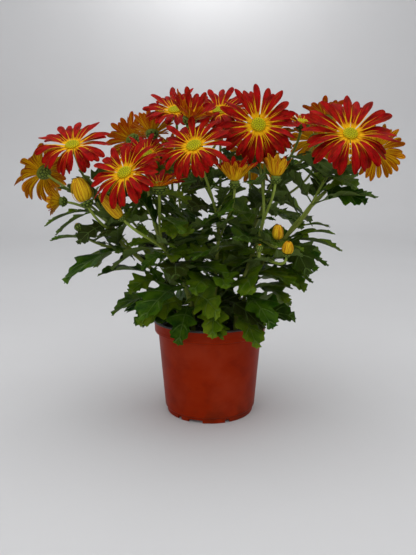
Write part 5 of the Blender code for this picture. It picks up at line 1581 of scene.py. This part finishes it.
# %% Stems, stalks and cups
CUP_KEYS = ((0.0, 0.20), (0.16, 0.50), (0.40, 0.76), (0.72, 0.93), (1.0, 1.0))
SMALL_BUD_KEYS = ((-1.0, 0.36), (-0.75, 0.66), (-0.35, 0.92), (0.15, 1.03), (0.6, 0.92), (0.92, 0.62),
                  (1.08, 0.2))
BRACTS = 9
TIERS = 3


def scales(share, sides):
    """Relief of overlapping bracts, from 0 to 1: each tier is shifted by half a bract, and a bract
    swells towards its free tip and its middle line, and narrows as it rises."""
    tier = np.minimum((share * TIERS).astype(int), TIERS - 1)[:, None]
    high = share[:, None] * TIERS - tier
    across = (BRACTS * np.arange(sides) / sides + 0.5 * tier) % 1.0 * 2 - 1
    narrow = np.abs(across) / (1.1 - 0.5 * high)
    return np.clip(1.1 - narrow ** 2, 0, 1) * (0.2 + 0.8 * eased(high / 0.8)) * (high < 0.95)


def cup_skin(spot, finish):
    """The cup under a bloom or a bud: its turned profile, raised by the scales."""
    sides = 45
    if spot["kind"] == "small":
        profile = through(SMALL_BUD_KEYS, 20)
        heights, radii = profile.T * spot["radius"]
        size = spot["radius"] / 9
    else:
        profile = through(CUP_KEYS, 24)
        top = -spot["drum_depth"] - GAP
        heights = top - CUP_DEPTH * spot["scale"] * (1 - profile[:, 0])
        radii = CUP_RADIUS * spot["scale"] * profile[:, 1]
        size = 0.95 * spot["scale"]
    relief = scales(np.linspace(0.0, 0.999, len(heights)), sides)
    # The relief is also the tone, from which the cup's finish paints shade between and under the bracts.
    return turned_skin(spot["at"], spot["axis"], heights[:, None] * np.ones(sides),
                       np.maximum(radii[:, None] + size * (relief - 0.6), 0.1), tone=relief, finish=finish)


def stem_skins(stem, rng):
    """The main stem and its stalks. Near each leaf the radius swells by a bell curve."""
    path = bezier(stem["curve"], 36)
    path = np.vstack((path[0] - UP * np.array((STRAIGHT_TOP - HOLE_FLOOR - GAP, 12.0, 5.0))[:, None], path))
    share = np.linspace(0.0, 1.0, len(path))
    joints = ray_facts(stem["leaves"], "root")
    near = np.linalg.norm(path[:, None] - joints, axis=2).min(1)
    radii = STEM_RADIUS + (0.82 * STEM_TOP_RADIUS - STEM_RADIUS) * share + 0.45 * np.exp(-(near / 3.0) ** 2)
    skins = [stalk_skin(path, radii, sides=12, tone=0.2, finish=1)]
    for curve, spot in stem["stalks"]:
        path = bezier(curve, 22)
        share = np.linspace(0.0, 1.0, len(path))
        foot, end = 1.7, spot["rings"][0][1]
        radii = STALK_RADIUS + (foot - STALK_RADIUS) * np.exp(-share / 0.05)
        radii = radii + (end - STALK_RADIUS) * np.exp(-(1 - share) / 0.035)
        skins.append(stalk_skin(path, radii, tone=rng.uniform(0.3, 1.0), finish=1))
        skins.append(cup_skin(spot, 2))
        if spot["kind"] == "small":
            skins.append(egg(spot["at"] + 0.1 * spot["radius"] * spot["axis"], spot["axis"],
                             1.12 * spot["radius"], 0.62 * spot["radius"], 1.0, finish=3))
    return skins


# %% [markdown]
# Between the leaves that the solids hold, a real plant has as many small ones. They only dress the
# plant, so they stand in this script alone. Each is tried, turned and shortened until its plain
# blade is clear of all but what carries it, and is left out where there is no room. First come
# the narrow ones that stand out at the sides.

# %% Narrow leaves at the sides
small = {number: [] for number in STEMS}
SIDE_LEAVES = (                 # narrow ones that stand out: stem, which of its stalks, place on it, tip
    (1, 2, 0.75, (-159, -40, 199)), (1, 1, 0.75, (-149, -60, 188)), (1, 3, 0.90, (-143, -40, 183)),
    (5, 0, 0.97, (154, -60, 228)), (5, 0, 0.70, (130, -30, 174)), (5, 0, 0.62, (116, -34, 160)),
    (5, 0, 0.52, (102, -30, 142)), (5, 1, 0.15, (120, 0, 177)))
for number, k, share, tip in SIDE_LEAVES:
    key, path = STEMS[number]["tubes"][k]
    own = {key, "main_%d" % number}
    if k == 0:                  # one that leaves the main stem may touch all that grows on it
        own = {"leaves_%d" % number, *(key for key, path in STEMS[number]["tubes"])}
    leaf = dict(root=point_at(path, share), tip=np.array(tip, float), shape=BRACT, arch=0.08, roll=0.0)
    leaf = fitted_leaf(leaf, space, own)
    if leaf is not None:
        space.add("small_%d" % number, leaf_blade(leaf))
        small[number].append(leaf)
print("narrow side leaves:", sum(len(leaves) for leaves in small.values()))

# %% Small leaves between the large ones
SMALL_LEAVES = {1: 95, 2: 90, 3: 60, 4: 44, 5: 64, 6: 40, 7: 50}      # tried on each stem
rng = np.random.default_rng((SEED, 500))
for number, stem in STEMS.items():
    for k in range(SMALL_LEAVES[number]):
        stalk = stem["tubes"][k % len(stem["tubes"]) if k % 2 else 0]
        share = rng.uniform(0.03, 0.62) if k % 2 else rng.uniform(0.45, 0.99)
        root = point_at(stalk[1], share)
        size = rng.uniform(28.0, 46.0)
        turn = stem["turn"] + GOLDEN_TURN * k + rng.uniform(-20, 20)
        tip = root + heading(turn, rng.uniform(-30, 40)) * size
        leaf = dict(root=root, tip=tip, shape=LOBED, arch=0.10, roll=rng.uniform(-LEAF_ROLL, LEAF_ROLL))
        leaf = fitted_leaf(leaf, space, {stalk[0]}, LEAF_TURNS[::2], LEAF_LIFTS[:5])
        if leaf is not None:
            space.add("small_%d" % number, leaf_blade(leaf))
            small[number].append(leaf)
STEMS[5]["leaves"][0]["slim"] = 0.55      # the long narrow one on the right
print("small leaves:", {number: len(leaves) for number, leaves in small.items()})

# %% One piece for each stem
total = 0
for number, stem in STEMS.items():
    rng = np.random.default_rng((SEED, 300 + number))
    leaves = stem["leaves"] + small[number]
    lobed = [leaf for leaf in leaves if leaf["shape"] is LOBED]
    bracts = [leaf for leaf in leaves if leaf["shape"] is not LOBED]
    skins = [leaves_of(lobed, LOBED_KEYS, rng)]
    if bracts:
        skins.append(leaves_of(bracts, BRACT_KEYS, rng))
    skins += stem_skins(stem, rng)
    piece = mesh_piece("leafy_stem_%d" % number, skins, [leaf_green, stem_green, cup_green, petal_bud])
    stand_for(piece, "foliage", "stem_%d" % number)
    total += len(piece.data.polygons)
print("faces of the leafy stems:", total)

# %% [markdown]
# ## The pot
# The pot is a thin moulded shell with a collar, a tapered wall and a foot ring with drain notches.
# A turned profile gives all of it. The solid has 24 sides; this skin has over two hundred and
# rounds each corner. Where a notch is, the foot ring's points are lifted. The drain holes
# are cut with a Boolean, as holes don't fit into rings.

# %% A turned pot with notches and drain holes
POT_COLUMNS = 192


def rounded(corners, radius, steps=4):
    """A line whose corners are replaced by short arcs: each is the quadratic curve from a little
    before the corner to a little after it."""
    corners = np.asarray(corners, float)
    before, after = corners[1:-1] - corners[:-2], corners[2:] - corners[1:-1]
    cut_before = np.minimum(radius / np.linalg.norm(before, axis=1), 0.4)[:, None]
    cut_after = np.minimum(radius / np.linalg.norm(after, axis=1), 0.4)[:, None]
    start, end = corners[1:-1] - before * cut_before, corners[1:-1] + after * cut_after
    t = np.linspace(0.0, 1.0, steps)[:, None]
    arcs = start[:, None] * (1 - t) ** 2 + 2 * corners[1:-1][:, None] * t * (1 - t) + end[:, None] * t ** 2
    return np.vstack((corners[:1], arcs.reshape(-1, 2), corners[-1:]))


outside = rounded((
    (FLOOR_HEIGHT, 3.0), *POT_OUTSIDE, (COLLAR_Z + 3.2, COLLAR_FOOT_RADIUS + 0.25),
    (COLLAR_Z + 3.8, COLLAR_FOOT_RADIUS + 0.05), (LIP_Z, COLLAR_TOP_RADIUS), (LIP_Z, RIM_RADIUS),
    (POT_HEIGHT, RIM_RADIUS)), 0.5)[:-1]
inside = rounded(((POT_HEIGHT, RIM_RADIUS - 0.3), (POT_HEIGHT, COLLAR_TOP_RADIUS - WALL), *POT_INSIDE,
                  (FLOOR_TOP, 3.0)), 0.5)
profile = np.vstack((outside, inside))
turn = np.arange(POT_COLUMNS) * 2 * math.pi / POT_COLUMNS
notch = np.radians([t for t, width in NOTCHES])[:, None]
reach = np.array([width for t, width in NOTCHES])[:, None] / 2 / RING_RADIUS
edges = (notch + reach * np.array((-1.0, 1.0)))[..., None] + np.array((-0.002, 0.002))
turn = np.unique(np.concatenate((turn, edges.ravel() % (2 * math.pi))))
off = np.abs((turn - notch + math.pi) % (2 * math.pi) - math.pi)
lifted = (off < reach).any(0)
height = profile[:, :1] * np.ones(len(turn))
height = np.where(lifted & (height < NOTCH_HEIGHT), NOTCH_HEIGHT, height)
rings = np.stack((profile[:, 1:] * np.cos(turn), profile[:, 1:] * np.sin(turn), height), -1)
bands = np.where(np.arange(len(profile) - 1) < len(outside) - 3, 0, 1)
skin = closed_rings(rings, FLOOR_HEIGHT * UP, FLOOR_TOP * UP, finish=bands)
pot_piece = mesh_piece("moulded_pot", [skin], [terracotta, black_plastic], sharp=35.0)

drains = [turned_skin(DRAIN_CIRCLE * heading(10 + 360 * k / DRAINS, 0), UP,
                      np.array((1.0, 9.0))[:, None] * np.ones(24), np.full((2, 24), DRAIN_RADIUS))
          for k in range(DRAINS)]
cutter = mesh_piece("drain_cutter", drains, [terracotta])
cut = pot_piece.modifiers.new("drains", "BOOLEAN")
cut.operation = "DIFFERENCE"
cut.object = cutter
cut.solver = "EXACT"
holed = bpy.data.meshes.new_from_object(pot_piece.evaluated_get(bpy.context.evaluated_depsgraph_get()))
pot_piece.modifiers.remove(cut)
pot_piece.data = holed
bpy.data.objects.remove(cutter)
holed.shade_smooth()
holed.set_sharp_from_angle(angle=math.radians(35))
stand_for(pot_piece, "pot", "pot")
print("pot faces:", len(holed.polygons), "notched columns:", int(lifted.sum()))

# %% [markdown]
# ## Soil
# Peat fills the pot to a little under its rim. Its top is a low relief of crumbs, and some loose
# crumbs lie on it. A displaced plane would leave the sides open, so the soil is a turned body whose
# top rings are raised by a sum of small bell curves.

# %% Peat with loose crumbs
LUMPS = 260
TOP_ROWS = 40
CRUMBS = 170
rng = np.random.default_rng((SEED, 400))
lumps = rng.uniform(-1, 1, (LUMPS, 2)) * (NECK_RADIUS - WALL)
tall = rng.uniform(0.3, 1.5, LUMPS)
broad = rng.uniform(1.5, 4.5, LUMPS)
sides = 96
radius = np.concatenate((
    (HEEL_RADIUS - HEEL_FILLET - 0.4, HEEL_RADIUS - WALL - 0.5, NECK_RADIUS - WALL - 0.5),
    np.linspace(NECK_RADIUS - WALL - 0.7, 1.0, TOP_ROWS)))
level = np.concatenate(((FLOOR_TOP + GAP, HEEL_HEIGHT + 1.4, SOIL_TOP - 2.0),
                        np.full(TOP_ROWS, SOIL_TOP - 0.9)))
angle = np.arange(sides) * 2 * math.pi / sides
spot = radius[:, None, None] * np.stack((np.cos(angle), np.sin(angle)), -1)
bell = np.exp(-(((spot[:, :, None] - lumps) ** 2).sum(-1)) / broad ** 2) * tall
relief = bell.sum(-1) * (np.arange(len(radius)) > 2)[:, None]
height = level[:, None] + np.minimum(relief * 0.55, 2.6)
top = turned_skin(np.zeros(3), UP, height, radius[:, None] * np.ones(sides))

golden = (1 + math.sqrt(5)) / 2
base = np.array([(0, a, b * golden) for a in (-1, 1) for b in (-1, 1)]) / math.hypot(1, golden)
base = np.vstack((base, base[:, (1, 2, 0)], base[:, (2, 0, 1)]))
near = np.linalg.norm(base[:, None] - base, axis=2) < 1.2
three = np.array([(a, b, c) for a in range(12) for b in range(a + 1, 12) for c in range(b + 1, 12)
                  if near[a, b] and near[b, c] and near[a, c]])
flip = np.einsum("ij,ij->i", base[three[:, 0]], np.cross(base[three[:, 1]], base[three[:, 2]])) < 0
three[flip] = three[flip][:, ::-1]
far = 50.0 * np.sqrt(rng.uniform(0.02, 0.98, CRUMBS))
turn = rng.uniform(0, 2 * math.pi, CRUMBS)
size = rng.uniform(0.5, 1.7, CRUMBS)[:, None, None]
centre = np.stack((far * np.cos(turn), far * np.sin(turn), np.full(CRUMBS, SOIL_TOP + 0.6)), -1)[:, None]
points = centre + base * size * rng.uniform(0.7, 1.3, (CRUMBS, 12, 1)) * np.array((1.0, 1.0, 0.7))
loose = surface(points.reshape(-1, 3), np.zeros((0, 4), int),
                (three + (np.arange(CRUMBS) * 12)[:, None, None]).reshape(-1, 3))
stand_for(mesh_piece("peat", [top, loose], [peat], sharp=60.0), "growing_medium", "growing_medium")
print("peat top between %.1f and %.1f mm" % (height[3:].min(), height[3:].max()))

# %% [markdown]
# ## Studio
# The plant stands in a round sweep of pale grey paper: a floor that curves up into a wall all
# round, with no edge, so that every side has the same backdrop. A large soft light hangs over it,
# a weak one fills in from the front, and a small one brightens the wall behind. The shadow under
# the pot is short and soft, and the leaves inside the plant stay dark.

# %% Floor, backdrop and lights
SWEEP_SIDES = 96
paper = Finish("grey_paper", (0.66, 0.66, 0.67), Roughness=0.9, Specular_IOR_Level=0.1)
spot = paper.node("ShaderNodeTexCoord", out=3)
cloud = paper.noise(spot, 3.0, 2.0)
paper.colour(paper.mix(cloud, rgb(0.645, 0.645, 0.653), rgb(0.685, 0.685, 0.693)))
paper.bump(paper.noise(spot, 400.0, 2.0), 0.0002, 0.2)
bend = np.radians(np.linspace(0.0, 90.0, 16))
radius = np.concatenate((np.linspace(2.0, 1650.0, 12), 1700 + 500 * np.sin(bend), (2200.0,)))
rise = np.concatenate((np.zeros(12), 500 - 500 * np.cos(bend), (2600.0,))) - 0.05
turn = np.arange(SWEEP_SIDES) * 2 * math.pi / SWEEP_SIDES
sheet = np.stack(np.broadcast_arrays(radius[:, None] * np.cos(turn), radius[:, None] * np.sin(turn),
                                     rise[:, None]), -1)
place = np.arange(sheet.shape[0] * SWEEP_SIDES).reshape(-1, SWEEP_SIDES)
after = np.roll(place, -1, axis=1)
floor = surface(sheet.reshape(-1, 3),
                np.stack((place[:-1], place[1:], after[1:], after[:-1]), -1).reshape(-1, 4))
spoke = np.arange(SWEEP_SIDES)
middle = surface(np.vstack(((0.0, 0.0, -0.05), sheet[0])), np.zeros((0, 4), int),
                 np.stack((0 * spoke, 1 + spoke, 1 + np.roll(spoke, -1)), 1))
sweep = mesh_piece("studio_sweep", [floor, middle], [paper.mat])
sweep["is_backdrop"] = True


def soft_light(name, at, aim, size, watts):
    """A rectangular white area light that looks at a point: its own back is the way from that point, its
    side is level, and its top is square to both."""
    data = bpy.data.lights.new(name, "AREA")
    data.shape = "RECTANGLE"
    data.size, data.size_y = size
    data.energy = watts
    light = bpy.data.objects.new(name, data)
    back = unit(np.array(at) - np.array(aim))
    side = unit(np.cross((0.0, 1.0, 0.0), back))
    turned = np.eye(4)
    turned[:3, :3] = np.stack((side, np.cross(back, side), back), 1)
    turned[:3, 3] = at
    light.matrix_world = Matrix(turned.tolist())
    bpy.context.scene.collection.objects.link(light)


soft_light("overhead_softbox", (0.0, -0.1, 1.7), (0.0, 0.0, 0.0), (2.4, 2.2), 26.5)
soft_light("front_fill", (-0.3, -1.5, 1.0), (0.0, 0.0, 0.1), (2.0, 0.9), 7.0)
soft_light("wall_glow", (0.0, 1.75, 1.4), (0.0, 2.2, 0.95), (0.4, 0.2), 4.6)
world = bpy.data.worlds.new("studio")
bpy.context.scene.world = world
world.use_nodes = True
world.node_tree.nodes["Background"].inputs["Color"].default_value = (0.9, 0.92, 0.95, 1.0)
world.node_tree.nodes["Background"].inputs["Strength"].default_value = 0.24
bpy.context.scene.view_settings.view_transform = "Standard"
print("three soft lights over a pale grey sweep")

# %% [markdown]
# ## Size
# The finished plant must fill the same box as the solids, but for about a millimetre. Both boxes
# are printed.

# %% Write both boxes and finish
bpy.context.view_layer.update()
visual_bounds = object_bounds()
for name, (low, high) in (("solids", cad_bounds), ("finished", visual_bounds)):
    print(name, "box in mm:", [round(1000 * (b - a), 1) for a, b in zip(low, high)])
